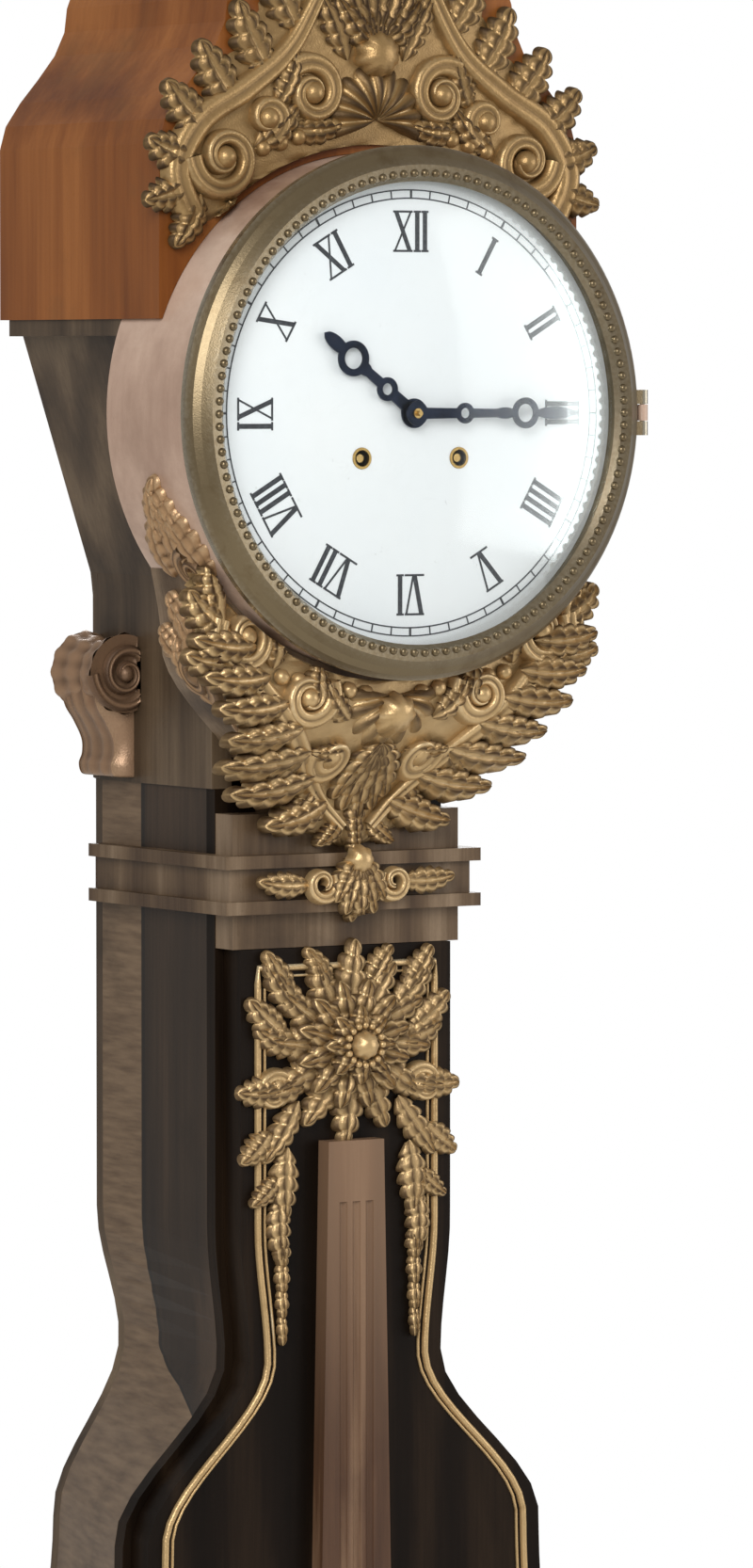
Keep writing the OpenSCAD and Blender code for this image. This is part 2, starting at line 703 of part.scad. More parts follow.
module window_ring() {
    color("#a08250") translate([0, door_y, bob_z]) rotate([90, 0, 0]) rotate_extrude()
        polygon([[window_r, 0], [window_ring_r, 0], [window_ring_r, 4], [window_ring_r - 5, 9],
            [window_r + 8, 11], [window_r + 2, 7], [window_r - 3, 6], [window_r - 3, 2], [window_r, 2]]);
}

module pilaster() {
    foot_z = bob_z + window_ring_r - 6;
    color("#6e5241") difference() {
        upright(door_y, pilaster_t) waisted([foot_z, pilaster_top_z], [pilaster_foot_half, pilaster_top_half]);
        translate([0, door_y + 1, bob_z]) rotate([90, 0, 0]) cylinder(h = 2 * pilaster_t, r = window_ring_r + 0.2);
        for (side = [-1, 0, 1]) translate([side * 9.5, door_y - pilaster_t - 1, (foot_z + pilaster_top_z) / 2])
            cylinder(h = 0.8 * (pilaster_top_z - foot_z), r = 3, center = true);
    }
}

module rosette_mount() {
    color("#a3834e") translate([0, door_y, rosette_z]) rotate([90, 0, 0]) {
        linear_extrude(8) for (turn = [0:30:330]) rotate(turn)
            leaf_shape(rosette_r * (turn % 180 == 90 ? 1 : 0.85), 0.36 * rosette_r);
        linear_extrude(14) for (turn = [15:30:345]) rotate(turn) leaf_shape(0.67 * rosette_r, 0.3 * rosette_r);
        translate([0, 0, 6]) intersection() {
            sphere(0.4 * rosette_r);
            cylinder(h = rosette_r, r = rosette_r);
        }
    }
}

module door_mounts() {
    color("#96784a") translate([0, door_y, bob_z - window_ring_r - 18]) rotate([90, 0, 0]) {
        linear_extrude(8) for (turn = [120:20:240]) rotate(turn) leaf_shape(70, 22);
        linear_extrude(12) for (side = [-1, 1]) translate([side * 44, -26])
            mirror([side > 0 ? 1 : 0, 0]) volute(24, 2, 7);
        linear_extrude(14) circle(16);
    }
}

// The lock stands behind the door's left edge, inside the front frame
lock_w = 40;
lock_x = front_half(lock_z + lock_h / 2) - stile_w - 2 - lock_w / 2;
bolt_h = 8;
bolt_t = 3;
bolt_y = frame_back + 0.2 + bolt_t;
module lock_case() {
    left = -lock_x - lock_w / 2;
    wall = 3;
    deep = bolt_y + 2 - (door_y + door_t);
    color("#8c7a55") difference() {
        translate([left, door_y + door_t, lock_z - lock_h / 2]) cube([lock_w, deep, lock_h]);
        translate([left + wall, door_y + door_t - 1, lock_z - lock_h / 2 + wall])
            cube([lock_w - 2 * wall, deep - 0.8, lock_h - 2 * wall]);
        translate([left - 1, bolt_y - bolt_t - 0.4, lock_z - 16.4]) cube([10, bolt_t + 0.6, bolt_h + 0.8]);
    }
}
module lock_bolt() {
    color("#9a9a95") translate([-lock_x - lock_w / 2, bolt_y - bolt_t, lock_z - 16])
        cube([lock_w - 12, bolt_t, bolt_h]);
}
module key_escutcheon() {
    color("#a98a4f") translate([-lock_x, door_y, lock_z]) rotate([90, 0, 0]) linear_extrude(3) difference() {
        union() {
            circle(12);
            for (turn = [0, 180]) rotate(turn) leaf_shape(30, 16);
        }
        keyhole(run);
    }
}
module door_key() {
    inner = bolt_y - bolt_t - 1.2;
    shank = 22;
    color("#b0924f") translate([-lock_x, 0, lock_z]) rotate([90, 0, 0]) {
        translate([0, 0, -inner]) cylinder(h = inner - door_y + shank, r = shank_r);
        translate([0, 0, -inner]) linear_extrude(6) translate([-bit_t / 2, -bit_reach]) square([bit_t, bit_reach]);
        translate([0, 0, shank - 2 - door_y]) linear_extrude(4) difference() {
            union() {
                translate([0, -11]) circle(11);
                translate([-3, -3]) square([6, 6]);
            }
            translate([0, -11]) circle(7);
        }
        translate([0, 0, 4 - door_y]) cylinder(h = 3, r = 5);
    }
}

rebate_r = sight_r + 4;
module bezel_ring() {
    color("#6f5f45") difference() {
        union() {
            translate([0, face_y - gap, dial_z]) rotate([90, 0, 0]) rotate_extrude($fn = 180)
                polygon([[rebate_r, 0], [bezel_r, 0], [bezel_r, 5], [bezel_r - 3, 9], [bezel_r - 7, 12],
                    [bezel_r - 12, bezel_d], [sight_r + 3, bezel_d - 1], [sight_r, bezel_d - 4.5],
                    [sight_r, bezel_d - 5], [rebate_r, bezel_d - 5]]);
            for (z = [-14, 5.3]) translate([0, 0, dial_z + z]) {
                translate([bezel_hinge_x, bezel_hinge_y, 0]) cylinder(h = 8.7, r = bezel_knuckle_r);
                translate([bezel_r - 3, bezel_hinge_y - 3, 0]) cube([bezel_hinge_x - bezel_r + 3, 4, 8.7]);
            }
        }
        translate([bezel_hinge_x, bezel_hinge_y, dial_z - 30]) cylinder(h = 60, r = 1.5 + run);
    }
}

module dial_glass() {
    edge_y = face_y - gap - bezel_d + 9;
    ball = (rebate_r * rebate_r + glass_rise * glass_rise) / (2 * glass_rise);
    color([0.85, 0.92, 0.92, 0.35]) intersection() {
        translate([0, edge_y - glass_rise + ball, dial_z]) difference() {
            sphere(ball + glass_t / 2, $fn = 200);
            sphere(ball - glass_t / 2, $fn = 200);
        }
        rod_y(edge_y + 1.5, edge_y - glass_rise - 6, rebate_r - 0.3);
    }
}

// Angles of the hands, anticlockwise from +X as seen from the front
minute_angle = 90 - 6 * shown_minute;
hour_angle = 90 - 30 * (shown_hour + shown_minute / 60);
hour_pipe_r = 4;
cannon_r = 3;
hour_hand_y = face_y - 3.5;
minute_hand_y = face_y - 7;
module hand_shape(length, width, boss, bore) {
    difference() {
        union() {
            circle(boss);
            polygon([[0, -width / 2], [0.62 * length, -width / 3], [0.62 * length, width / 3], [0, width / 2]]);
            translate([0.3 * length, 0]) circle(0.9 * width);
            translate([0.68 * length, 0]) circle(1.35 * width);
            translate([0.74 * length, 0]) rotate(-90) leaf_shape(0.26 * length, 1.1 * width);
            translate([0.62 * length, 0]) rotate(90) leaf_shape(0.14 * length, width);
        }
        circle(bore);
        translate([0.3 * length, 0]) circle(0.45 * width);
        translate([0.68 * length, 0]) circle(0.8 * width);
    }
}
module hour_hand() {
    color("#1f2733") on_dial(hour_hand_y, 1.2) rotate(hour_angle)
        hand_shape(hour_hand_len, 8, 9, hour_pipe_r + run);
}
module minute_hand() {
    color("#1f2733") on_dial(minute_hand_y, 1.2) rotate(minute_angle)
        hand_shape(minute_hand_len, 7, 7.5, cannon_r + run);
}

// Wheel with slim pointed teeth, one of them on the X axis
module toothed(n, m) {
    r = n * m / 2;
    step = 180 / n;
    polygon([for (i = [0:n - 1]) for (p = [[-0.54, -1.25], [-0.18, 0.75], [0.18, 0.75], [0.54, -1.25]])
        (r + p[1] * m) * [cos(step * (2 * i + p[0])), sin(step * (2 * i + p[0]))]]);
}
// Wheel rim with spokes: its teeth, rim and crossings
module crossed(n, m, spokes = 4) {
    r = n * m / 2;
    difference() {
        toothed(n, m);
        difference() {
            circle(r - 4 * m);
            circle(6);
            for (i = [0:spokes - 1]) rotate(360 * i / spokes) translate([0, -1.6]) square([r, 3.2]);
        }
    }
}
// Layer of the movement, with its back at y and its centre at a point of the dial plane
module layer(y, t, at = [0, 0], turn = 0) {
    translate([at[0], y, dial_z + at[1]]) rotate([90, 0, 0]) linear_extrude(t) rotate(turn) children();
}
function bearing(a, b) = atan2(b[1] - a[1], b[0] - a[0]);
// Turn of a wheel b that puts a space against the tooth that a turns towards it
function meshed(a, b, n) = bearing(b, a) + 180 / n;

train_distance = centre_mod * (centre_teeth + small_pinion) / 2;
third_x = -16;
third_at = [third_x, sqrt(train_distance * train_distance - third_x * third_x)];
escape_distance = third_mod * (third_teeth + small_pinion) / 2;
escape_at = [0, third_at[1] + sqrt(escape_distance * escape_distance - third_x * third_x)];
pallet_at = [0, pivot_rise];
pin_at = strike_at + great_distance * [cos(105), sin(105)];
fly_distance = pin_mod * (pin_teeth + small_pinion) / 2;
fly_at = pin_at + fly_distance * [cos(70), sin(70)];
hammer_at = [-58, 62];
minute_at = 18 * [cos(210), sin(210)];
motion_mod = 0.75;
hour_mod = 0.72;
pivot_r = 1.2;

module plate_shape() {
    difference() {
        translate([-plate_half, -pivot_rise]) square([2 * plate_half, pivot_rise + 84]);
        for (at = [third_at, escape_at, pin_at, fly_at, hammer_at]) translate(at) circle(pivot_r + run);
        for (at = [wind_at, strike_at]) translate(at) circle(2.5 + run);
        for (at = pillar_places) translate(at) circle(2.5);
        translate(pallet_at) circle(1.5 + run);
        children();
    }
}
pillar_places = [for (x = [-1, 1], z = [-65, 77]) [x * (plate_half - 7), z]];
module front_plate() {
    color("#b39355") {
        on_dial(front_plate_y, plate_t) plate_shape() circle(1.5 + run);
        rod_y(front_plate_y - plate_t, front_plate_y - plate_t - 13, 1.5, minute_at);
    }
}
module back_plate() {
    color("#b39355") on_dial(back_plate_y + plate_t, plate_t) plate_shape() circle(pivot_r + run);
}
module plate_pillars() {
    color("#c2a25e") for (at = pillar_places) {
        rod_y(back_plate_y, front_plate_y, 4.5, at);
        rod_y(back_plate_y + plate_t + 3, front_plate_y - plate_t - 2, 2.45, at);
        rod_y(back_plate_y + 8, back_plate_y + plate_t + 0.2, 4, at);
    }
}

// Wheel arbor between the plates with a pivot at each end
module arbor(at, r) {
    rod_y(back_plate_y - 0.6, front_plate_y + 0.6, r, at);
    rod_y(back_plate_y + plate_t - 0.4, front_plate_y - plate_t + 0.4, pivot_r, at);
}

// Places of the layers, counted forwards from the back plate
centre_layer = back_plate_y - 7;
great_layer = back_plate_y - 14;
pin_layer = back_plate_y - 12;
third_layer = front_plate_y + 12;
strike_layer = front_plate_y + 7;
escape_layer = back_plate_y - 3;

module centre_wheel() {
    color("#b59a55") {
        layer(centre_layer, 2, [0, 0], bearing([0, 0], third_at)) crossed(centre_teeth, centre_mod, 5);
        rod_y(back_plate_y - 0.6, front_plate_y + 0.6, 2.2);
        rod_y(back_plate_y + plate_t - 0.4, back_plate_y - 1, pivot_r);
        rod_y(front_plate_y + 1, face_y - 12, 1.5);
        layer(great_layer + 1, 5, [0, 0], meshed(wind_at, [0, 0], great_pinion)) toothed(great_pinion, great_mod);
    }
}
module third_wheel() {
    color("#b59a55") {
        arbor(third_at, 1.6);
        layer(centre_layer + 1, 4, third_at, meshed([0, 0], third_at, small_pinion)) toothed(small_pinion, centre_mod);
        layer(third_layer + 2, 2, third_at, bearing(third_at, escape_at)) crossed(third_teeth, third_mod);
    }
}
module escape_wheel() {
    color("#c4a860") {
        arbor(escape_at, 1.4);
        layer(third_layer + 3, 4, escape_at, meshed(third_at, escape_at, small_pinion)) toothed(small_pinion, third_mod);
        layer(escape_layer, 2, escape_at) {
            difference() {
                circle(escape_r - 4);
                difference() {
                    circle(escape_r - 6.5);
                    circle(4);
                    for (turn = [0:90:270]) rotate(turn) translate([0, -1.2]) square([escape_r - 5, 2.4]);
                }
            }
            for (i = [0:escape_teeth - 1]) rotate(360 * i / escape_teeth)
                polygon([[escape_r - 4.5, -1.2], [escape_r, 0.4], [escape_r, 0.8], [escape_r - 4.5, 1.2]]);
        }
    }
}
// Anchor, kept just clear of the escape wheel, with its arbor and the crutch behind the back plate
crutch_len = 104;
module anchor() {
    nib = escape_r + 1.7;
    rise = pivot_rise - escape_at[1];
    color("#8d8f92") {
        rod_y(back_plate_y + plate_t + 8, front_plate_y - plate_t + 0.4, 1.5, pallet_at);
        layer(escape_layer + 1, 4, pallet_at) {
            circle(4);
            for (side = [-1, 1]) {
                polygon([[0, 3], [side * 17, nib * 0.72 - rise + 4], [side * 17, nib * 0.72 - rise - 1],
                    [side * 13.9, nib * 0.72 - rise], [side * 13, nib * 0.72 - rise + 3], [0, -3]]);
            }
        }
        layer(back_plate_y + plate_t + 6, 2, pallet_at) {
            circle(4);
            translate([-1.5, -crutch_len]) square([3, crutch_len]);
        }
        rod_y(pendulum_y - 7.7, back_plate_y + plate_t + 5, 1.4, [0, pivot_rise - crutch_len + 4]);
        translate([-7, pendulum_y - 9, pivot_z - crutch_len]) cube([14, 2, 8]);
        for (side = [-1, 1]) translate([side * 5.8 - 1.2, pendulum_y - 7.5, pivot_z - crutch_len]) cube([2.4, 11, 8]);
    }
}
module back_cock() {
    plate_back = back_plate_y + plate_t;
    color("#b39355") difference() {
        union() {
            translate([-16, plate_back, pivot_z + 5]) cube([32, 3, 7]);
            translate([-8, plate_back, pivot_z + 5]) cube([16, pendulum_y + 8 - plate_back, 7]);
        }
        translate([-0.8, pendulum_y - 6, pivot_z]) cube([1.6, 30, 20]);
    }
}

module going_barrel() {
    color("#bd9c58") {
        layer(great_layer, 3, wind_at, bearing(wind_at, [0, 0])) toothed(great_teeth, great_mod);
        rod_y(great_layer - 1, great_layer - 28, barrel_r, wind_at);
        rod_y(back_plate_y + plate_t - 0.4, face_y + 2, 2.5, wind_at);
    }
}
module strike_barrel() {
    color("#bd9c58") {
        layer(strike_layer, 3, strike_at, bearing(strike_at, pin_at)) toothed(great_teeth, great_mod);
        rod_y(strike_layer + 25, strike_layer - 1, barrel_r, strike_at);
        rod_y(back_plate_y + plate_t - 0.4, face_y + 2, 2.5, strike_at);
    }
}
module pin_wheel() {
    color("#b59a55") {
        arbor(pin_at, 1.6);
        layer(strike_layer + 1, 5, pin_at, meshed(strike_at, pin_at, great_pinion)) toothed(great_pinion, great_mod);
        layer(pin_layer, 2, pin_at, bearing(pin_at, fly_at)) crossed(pin_teeth, pin_mod);
        for (turn = [0:45:315]) rod_y(pin_layer - 1.5, pin_layer - 4.6, 0.8,
            pin_at + 22 * [cos(turn), sin(turn)]);
    }
}
module fly() {
    color("#c4a860") {
        arbor(fly_at, 1.2);
        layer(pin_layer + 1, 4, fly_at, meshed(pin_at, fly_at, small_pinion)) toothed(small_pinion, pin_mod);
        translate([fly_at[0] - 14, front_plate_y + 16, dial_z + fly_at[1] - 0.5]) cube([28, 11, 1]);
    }
}
bell_y = front_plate_y + 20;
bell_low = 92;
module hammer() {
    head = [-bell_r - 8.4, bell_low + 5];
    color("#77797c") {
        arbor(hammer_at, 1.8);
        layer(bell_y + 1.5, 3, hammer_at) polygon([[-2, 0], [2, 0],
            [head[0] - hammer_at[0] + 1.5, head[1] - hammer_at[1]], [head[0] - hammer_at[0] - 1.5, head[1] - hammer_at[1]]]);
        translate([head[0] - 6, bell_y, dial_z + head[1]]) rotate([0, 90, 0]) cylinder(h = 12, r = 4);
    }
}
module bell() {
    color("#b7a06c") translate([0, bell_y, dial_z + bell_low]) rotate_extrude()
        polygon([[bell_r, 0], [bell_r - 1, 8], [bell_r - 4, 18], [bell_r - 12, 27], [14, 31], [3.3, 32],
            [3.3, 30], [14, 29], [bell_r - 13, 25], [bell_r - 6, 17], [bell_r - 3, 8], [bell_r - 2, 0]]);
}
module bell_stand() {
    color("#83858a") {
        translate([-6, front_plate_y - plate_t, dial_z + 84]) cube([12, plate_gap + 2 * plate_t, 4]);
        translate([0, bell_y, dial_z + 88]) cylinder(h = bell_low + 29.8 - 88, r = 5);
        translate([0, bell_y, dial_z + 88]) cylinder(h = bell_low + 38 - 88, r = 3.2);
        translate([0, bell_y, dial_z + bell_low + 32.2]) cylinder(h = 4, r = 6);
    }
}
module cannon_pinion() {
    plate_front = front_plate_y - plate_t;
    color("#c9ad66") difference() {
        union() {
            layer(plate_front - 2, 3, [0, 0], bearing([0, 0], minute_at)) toothed(12, motion_mod);
            rod_y(plate_front - 2, minute_hand_y - 2, cannon_r);
        }
        rod_y(plate_front, minute_hand_y - 3, 1.5 + run);
    }
}
module minute_wheel() {
    plate_front = front_plate_y - plate_t;
    color("#c9ad66") difference() {
        union() {
            layer(plate_front - 2.5, 2, minute_at, meshed([0, 0], minute_at, 36)) toothed(36, motion_mod);
            layer(plate_front - 4.5, 7, minute_at, bearing(minute_at, [0, 0])) toothed(10, hour_mod);
        }
        rod_y(plate_front, plate_front - 20, 1.5 + run, minute_at);
    }
}
module hour_wheel() {
    plate_front = front_plate_y - plate_t;
    color("#c9ad66") difference() {
        union() {
            layer(plate_front - 9, 2, [0, 0], meshed(minute_at, [0, 0], 40)) toothed(40, hour_mod);
            rod_y(plate_front - 9, hour_hand_y - 2, hour_pipe_r);
        }
        rod_y(plate_front, minute_hand_y - 3, cannon_r + 0.08);
    }
}

module suspension_spring() {
    color("#9aa0a8") {
        translate([-3, pendulum_y - 4, pivot_z + 12.15]) cube([6, 8, 6]);
        translate([-0.15, pendulum_y - 4, pivot_z - 18]) cube([0.3, 8, 31]);
    }
}
bars_high_z = pivot_z - crutch_len - 26;
bars_low_z = bob_z + bob_r + 12;
module gridiron_rods() {
    wide = 2 * rod_pitch + rod_r + 3;
    color("#a8926a") {
        difference() {
            translate([-4, pendulum_y - 3, bars_high_z - 4]) cube([8, 6, pivot_z - 12 - bars_high_z + 4]);
            translate([-0.25, pendulum_y - 5, pivot_z - 18.2]) cube([0.5, 10, 20]);
        }
        for (z = [bars_high_z, (bars_high_z + bars_low_z) / 2, bars_low_z])
            translate([-wide, pendulum_y - 4, z - 4]) cube([2 * wide, 8, 8]);
        for (x = [-2, -1, 1, 2]) translate([x * rod_pitch, pendulum_y, bars_low_z])
            cylinder(h = bars_high_z - bars_low_z, r = rod_r);
        translate([0, pendulum_y, bob_z - bob_r - 18]) cylinder(h = bars_high_z - bob_z + bob_r + 18, r = rod_r);
    }
}
module bob() {
    half = bob_t / 2;
    ball = (bob_r * bob_r + half * half) / (2 * half);
    color("#c9a860") translate([0, pendulum_y, bob_z]) difference() {
        intersection() {
            translate([0, ball - half, 0]) sphere(ball, $fn = 200);
            translate([0, half - ball, 0]) sphere(ball, $fn = 200);
            rotate([90, 0, 0]) cylinder(h = bob_t, r = bob_r - 1, center = true);
        }
        cylinder(h = 3 * bob_r, r = rod_r + 0.08, center = true);
    }
}
module rating_nut() {
    color("#b0924f") translate([0, pendulum_y, bob_z - bob_r - 9]) difference() {
        union() {
            cylinder(h = 8, r = 8);
            translate([0, 0, 8]) cylinder(h = 1.7, r = 5);
        }
        translate([0, 0, -1]) cylinder(h = 14, r = rod_r + 0.08);
    }
}

plinth();
base_case();
trunk_side_left();
trunk_side_right();
trunk_front_frame();
back_board();
neck_panel();
neck_moulding();
drum_corbel();
head_case();
hood_cap();
crest_mount();
finial();
drum_shell();
seat_board();
apron_mount();
side_mounts();
ear_scrolls();
foot_mounts();
dial_plate();
dial_numerals();
winding_collars();
door_hinge_case();
front_plate();
back_plate();
plate_pillars();
back_cock();
bell();
bell_stand();
trunk_door();
window_glass();
window_ring();
pilaster();
rosette_mount();
door_mounts();
door_hinge_leaf();
lock_case();
key_escutcheon();
door_key();
lock_bolt();
bezel_ring();
dial_glass();
hour_hand();
minute_hand();
cannon_pinion();
minute_wheel();
hour_wheel();
centre_wheel();
third_wheel();
escape_wheel();
anchor();
going_barrel();
strike_barrel();
pin_wheel();
fly();
hammer();
suspension_spring();
gridiron_rods();
bob();
rating_nut();
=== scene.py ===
import math

import bpy
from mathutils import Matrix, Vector


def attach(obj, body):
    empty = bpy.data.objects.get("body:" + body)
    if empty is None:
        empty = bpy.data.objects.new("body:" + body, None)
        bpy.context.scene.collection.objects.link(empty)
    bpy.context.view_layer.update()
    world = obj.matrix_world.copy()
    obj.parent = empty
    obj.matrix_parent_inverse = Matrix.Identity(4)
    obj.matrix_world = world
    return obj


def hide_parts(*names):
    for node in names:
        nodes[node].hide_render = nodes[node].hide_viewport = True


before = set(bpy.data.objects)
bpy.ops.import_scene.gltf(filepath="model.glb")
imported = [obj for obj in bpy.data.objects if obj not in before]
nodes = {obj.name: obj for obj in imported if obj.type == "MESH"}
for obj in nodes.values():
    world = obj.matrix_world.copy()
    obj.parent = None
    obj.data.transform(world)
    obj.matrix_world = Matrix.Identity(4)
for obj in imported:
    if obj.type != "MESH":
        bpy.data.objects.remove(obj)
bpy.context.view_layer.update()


# sums on a shader sheet are written as sums, and every other node comes from add()

class Wire:
    def __init__(self, sheet, socket):
        self.sheet, self.socket = sheet, socket

    def sum(self, operation, first, second):
        return self.sheet.add("ShaderNodeMath", {"operation": operation}, {0: first, 1: second})

    def __add__(self, other):
        return self.sum("ADD", self, other)

    def __radd__(self, other):
        return self.sum("ADD", other, self)

    def __sub__(self, other):
        return self.sum("SUBTRACT", self, other)

    def __rsub__(self, other):
        return self.sum("SUBTRACT", other, self)

    def __mul__(self, other):
        return self.sum("MULTIPLY", self, other)


class Sheet:
    # the nodes of a material, or of the world
    def __init__(self, name, store=bpy.data.materials):
        self.owner = store.new(name)
        self.owner.use_nodes = True
        self.tree = self.owner.node_tree
        self.tree.nodes.clear()

    def add(self, kind, settings=None, sockets=None, out=0):
        node = self.tree.nodes.new(kind)
        for key, value in (settings or {}).items():
            if key == "stops":
                elements = node.color_ramp.elements
                while len(elements) < len(value):
                    elements.new(0.5)
                for element, (place, colour) in zip(elements, value):
                    element.position, element.color = place, colour
            else:
                setattr(node, key, value)
        for key, value in (sockets or {}).items():
            if isinstance(value, Wire):
                self.tree.links.new(value.socket, node.inputs[key])
            else:
                node.inputs[key].default_value = value
        return Wire(self, node.outputs[out] if node.outputs else None)

    def place(self, stretch=(1, 1, 1)):
        spot = self.add("ShaderNodeTexCoord", out="Object")
        return self.add("ShaderNodeVectorMath", {"operation": "MULTIPLY"}, {0: spot, 1: stretch})

    def axis(self, letter):
        spot = self.add("ShaderNodeTexCoord", out="Object")
        return self.add("ShaderNodeSeparateXYZ", {}, {0: spot}, out=letter)

    def noise(self, where, scale, detail=4.0, rough=0.55, twist=0.0):
        return self.add("ShaderNodeTexNoise", {}, {"Vector": where, "Scale": scale, "Detail": detail,
                                                   "Roughness": rough, "Distortion": twist})

    def ramp(self, factor, stops):
        return self.add("ShaderNodeValToRGB", {"stops": stops}, {0: factor})

    def mix(self, factor, first, second):
        return self.add("ShaderNodeMix", {"data_type": "RGBA", "clamp_factor": True},
                        {0: factor, 6: first, 7: second}, out=2)

    def span(self, value, low, high, start=0.0, end=1.0):
        return self.add("ShaderNodeMapRange", {"clamp": True, "interpolation_type": "SMOOTHSTEP"},
                        {0: value, 1: low, 2: high, 3: start, 4: end})

    def bump(self, height, depth, strength):
        return self.add("ShaderNodeBump", {}, {"Height": height, "Distance": depth, "Strength": strength})

    def close(self, colour, rough, normal, **others):
        sockets = {"Base Color": colour, "Roughness": rough, "Normal": normal, **others}
        return self.finish(self.add("ShaderNodeBsdfPrincipled", {}, sockets))

    def finish(self, shader, end="ShaderNodeOutputMaterial"):
        self.add(end, {}, {"Surface": shader})
        return self.owner


def ink(red, green, blue):
    # screen colour, 0 to 255, as the shader wants it
    def flat(c):
        c = c / 255
        return c / 12.92 if c <= 0.04045 else ((c + 0.055) / 1.055) ** 2.4
    return (flat(red), flat(green), flat(blue), 1.0)


# finishes

def makeVeneer(name, look):
    s = Sheet(name)
    x, y, z = look["run"]
    sway = s.noise(s.place((x * 0.25, y * 0.25, z * 0.06)), 1.5, 2.0)
    cloud = s.noise(s.place((x * 0.8, y * 0.8, z * 0.13)), look["figure"], 5.0, 0.55, 1.2)
    bands = {"wave_type": "BANDS", "bands_direction": "X", "wave_profile": "SIN"}
    flames = s.add("ShaderNodeTexWave", bands,
                   {"Vector": s.place((x * 0.6, y * 0.6, z * 0.07)), "Scale": look["figure"] * 0.7,
                    "Distortion": 16.0, "Detail": 4.0, "Detail Scale": 0.7, "Detail Roughness": 0.6}, out=1)
    streaks = s.noise(s.place((x * 4.5, y * 4.5, z * 0.12)), look["figure"] * 4, 7.0, 0.66)
    pores = s.noise(s.place((x * 14, y * 14, z * 0.6)), 60.0, 3.0, 0.7)
    tone = cloud * 0.5 + flames * 0.2 + streaks * 0.26 + sway * 0.2 - 0.08
    colour = s.ramp(tone, [(0.32, look["dark"]), (0.5, look["mid"]), (0.68, look["light"])])
    colour = s.mix(s.span(pores, 0.54, 0.72) * 0.5, colour, look["dark"])
    if "fade" in look:
        # painted highlight: paler towards the head, where the pilaster's top catches the light
        colour = s.mix(s.span(s.axis("Z"), *look["fade"]) * 0.6, colour, look["light"])
    if "strip" in look:
        # a lighter crossbanded strip along the back edge, then a painted line of shadow; below the spread
        # height the strip takes the whole side, painted light where the belly's flare faces up
        depth = s.axis("Y") + s.span(s.axis("Z"), look["spread"] - 0.06, look["spread"], 0.12, 0.0)
        band = s.span(depth, look["stripAt"], look["stripAt"] + 0.0015)
        line = s.span(depth, look["stripAt"] - 0.004, look["stripAt"] - 0.003) * (1 - band)
        streaks = s.noise(s.place((8, 8, 60)), 4.0, 6.0)
        colour = s.mix(band, colour, s.ramp(streaks, [(0.3, look["strip"]), (0.7, look["stripLight"])]))
        colour = s.mix(line * 0.8, colour, ink(20, 14, 9))
    grime = s.noise(s.place((9, 9, 9)), 1.2, 5.0, 0.6)
    colour = s.mix(s.span(grime, 0.52, 0.78) * look["grime"], colour, look["soil"])
    rough = look["rough"] + grime * 0.16 + pores * 0.08
    normal = s.bump(pores * 0.5 + streaks * 0.5, 0.00025, 0.35)
    return s.close(colour, rough, normal, **{"Coat Weight": look["coat"], "Coat Roughness": 0.22,
                                             "Specular IOR Level": look["gloss"]})


def makeGilt(name, look):
    s = Sheet(name)
    point = s.add("ShaderNodeNewGeometry", out="Pointiness")
    cloud = s.noise(s.place(), 55.0, 6.0, 0.6, 0.4)
    fine = s.noise(s.place(), 420.0, 4.0, 0.6)
    grains = s.add("ShaderNodeTexVoronoi", {"feature": "F1"}, {"Vector": s.place(), "Scale": 950.0})
    raised = s.span(point + (cloud - 0.5) * 0.05, 0.41, 0.53)
    # ridges lighter: partly rubbed gilding, partly a painted highlight
    rubbedAndLit = s.span(point + (fine - 0.5) * 0.06, 0.53, 0.64)
    colour = s.mix(raised, look["hollow"], look["body"])
    colour = s.mix(s.span(cloud, 0.5, 0.75) * 0.6, colour, look["tarnish"])
    colour = s.mix(rubbedAndLit * look["shine"], colour, look["ridgeWearAndHighlight"])
    rough = look["rough"] + (1 - raised) * 0.22 - rubbedAndLit * 0.12 + fine * 0.12
    normal = s.bump(grains * 0.4 + fine * 0.6, 0.0005, look["matt"])
    return s.close(colour, rough, normal, Metallic=look["metal"])


def makeTurned(name, look):
    s = Sheet(name)
    streak = s.noise(s.place(look["run"]), 30.0, 4.0, 0.7)
    cloud = s.noise(s.place(), 22.0, 5.0)
    colour = s.mix(cloud, look["dark"], look["light"])
    colour = s.mix(streak * 0.35, colour, look["light"])
    rough = look["rough"] + streak * 0.18 + cloud * 0.08
    return s.close(colour, rough, s.bump(streak, 0.0002, 0.3), Metallic=1.0)


def makeEnamel(name, look):
    s = Sheet(name)
    cloud = s.noise(s.place(), 9.0, 4.0)
    specks = s.span(s.noise(s.place(), 260.0, 2.0), 0.72, 0.8)
    edge = s.noise(s.place(), 30.0, 8.0, 0.7, 1.4)
    cracks = s.span(edge, 0.497, 0.5) * (1 - s.span(edge, 0.5, 0.503))
    colour = s.mix(cloud, look["cool"], look["warm"])
    colour = s.mix(specks * 0.25, colour, look["speck"])
    colour = s.mix(cracks * look["cracks"], colour, look["crack"])
    wave = s.noise(s.place(), 24.0, 3.0)
    return s.close(colour, look["rough"] + cloud * 0.08, s.bump(wave, 0.0006, 0.25),
                   **{"Coat Weight": 0.6, "Coat Roughness": 0.06})


def makeInk(name, look):
    s = Sheet(name)
    wear = s.noise(s.place(), 500.0, 4.0, 0.7)
    colour = s.mix(s.span(wear, 0.45, 0.75), look["deep"], look["thin"])
    return s.close(colour, 0.3 + wear * 0.15, s.bump(wear, 0.0001, 0.3))


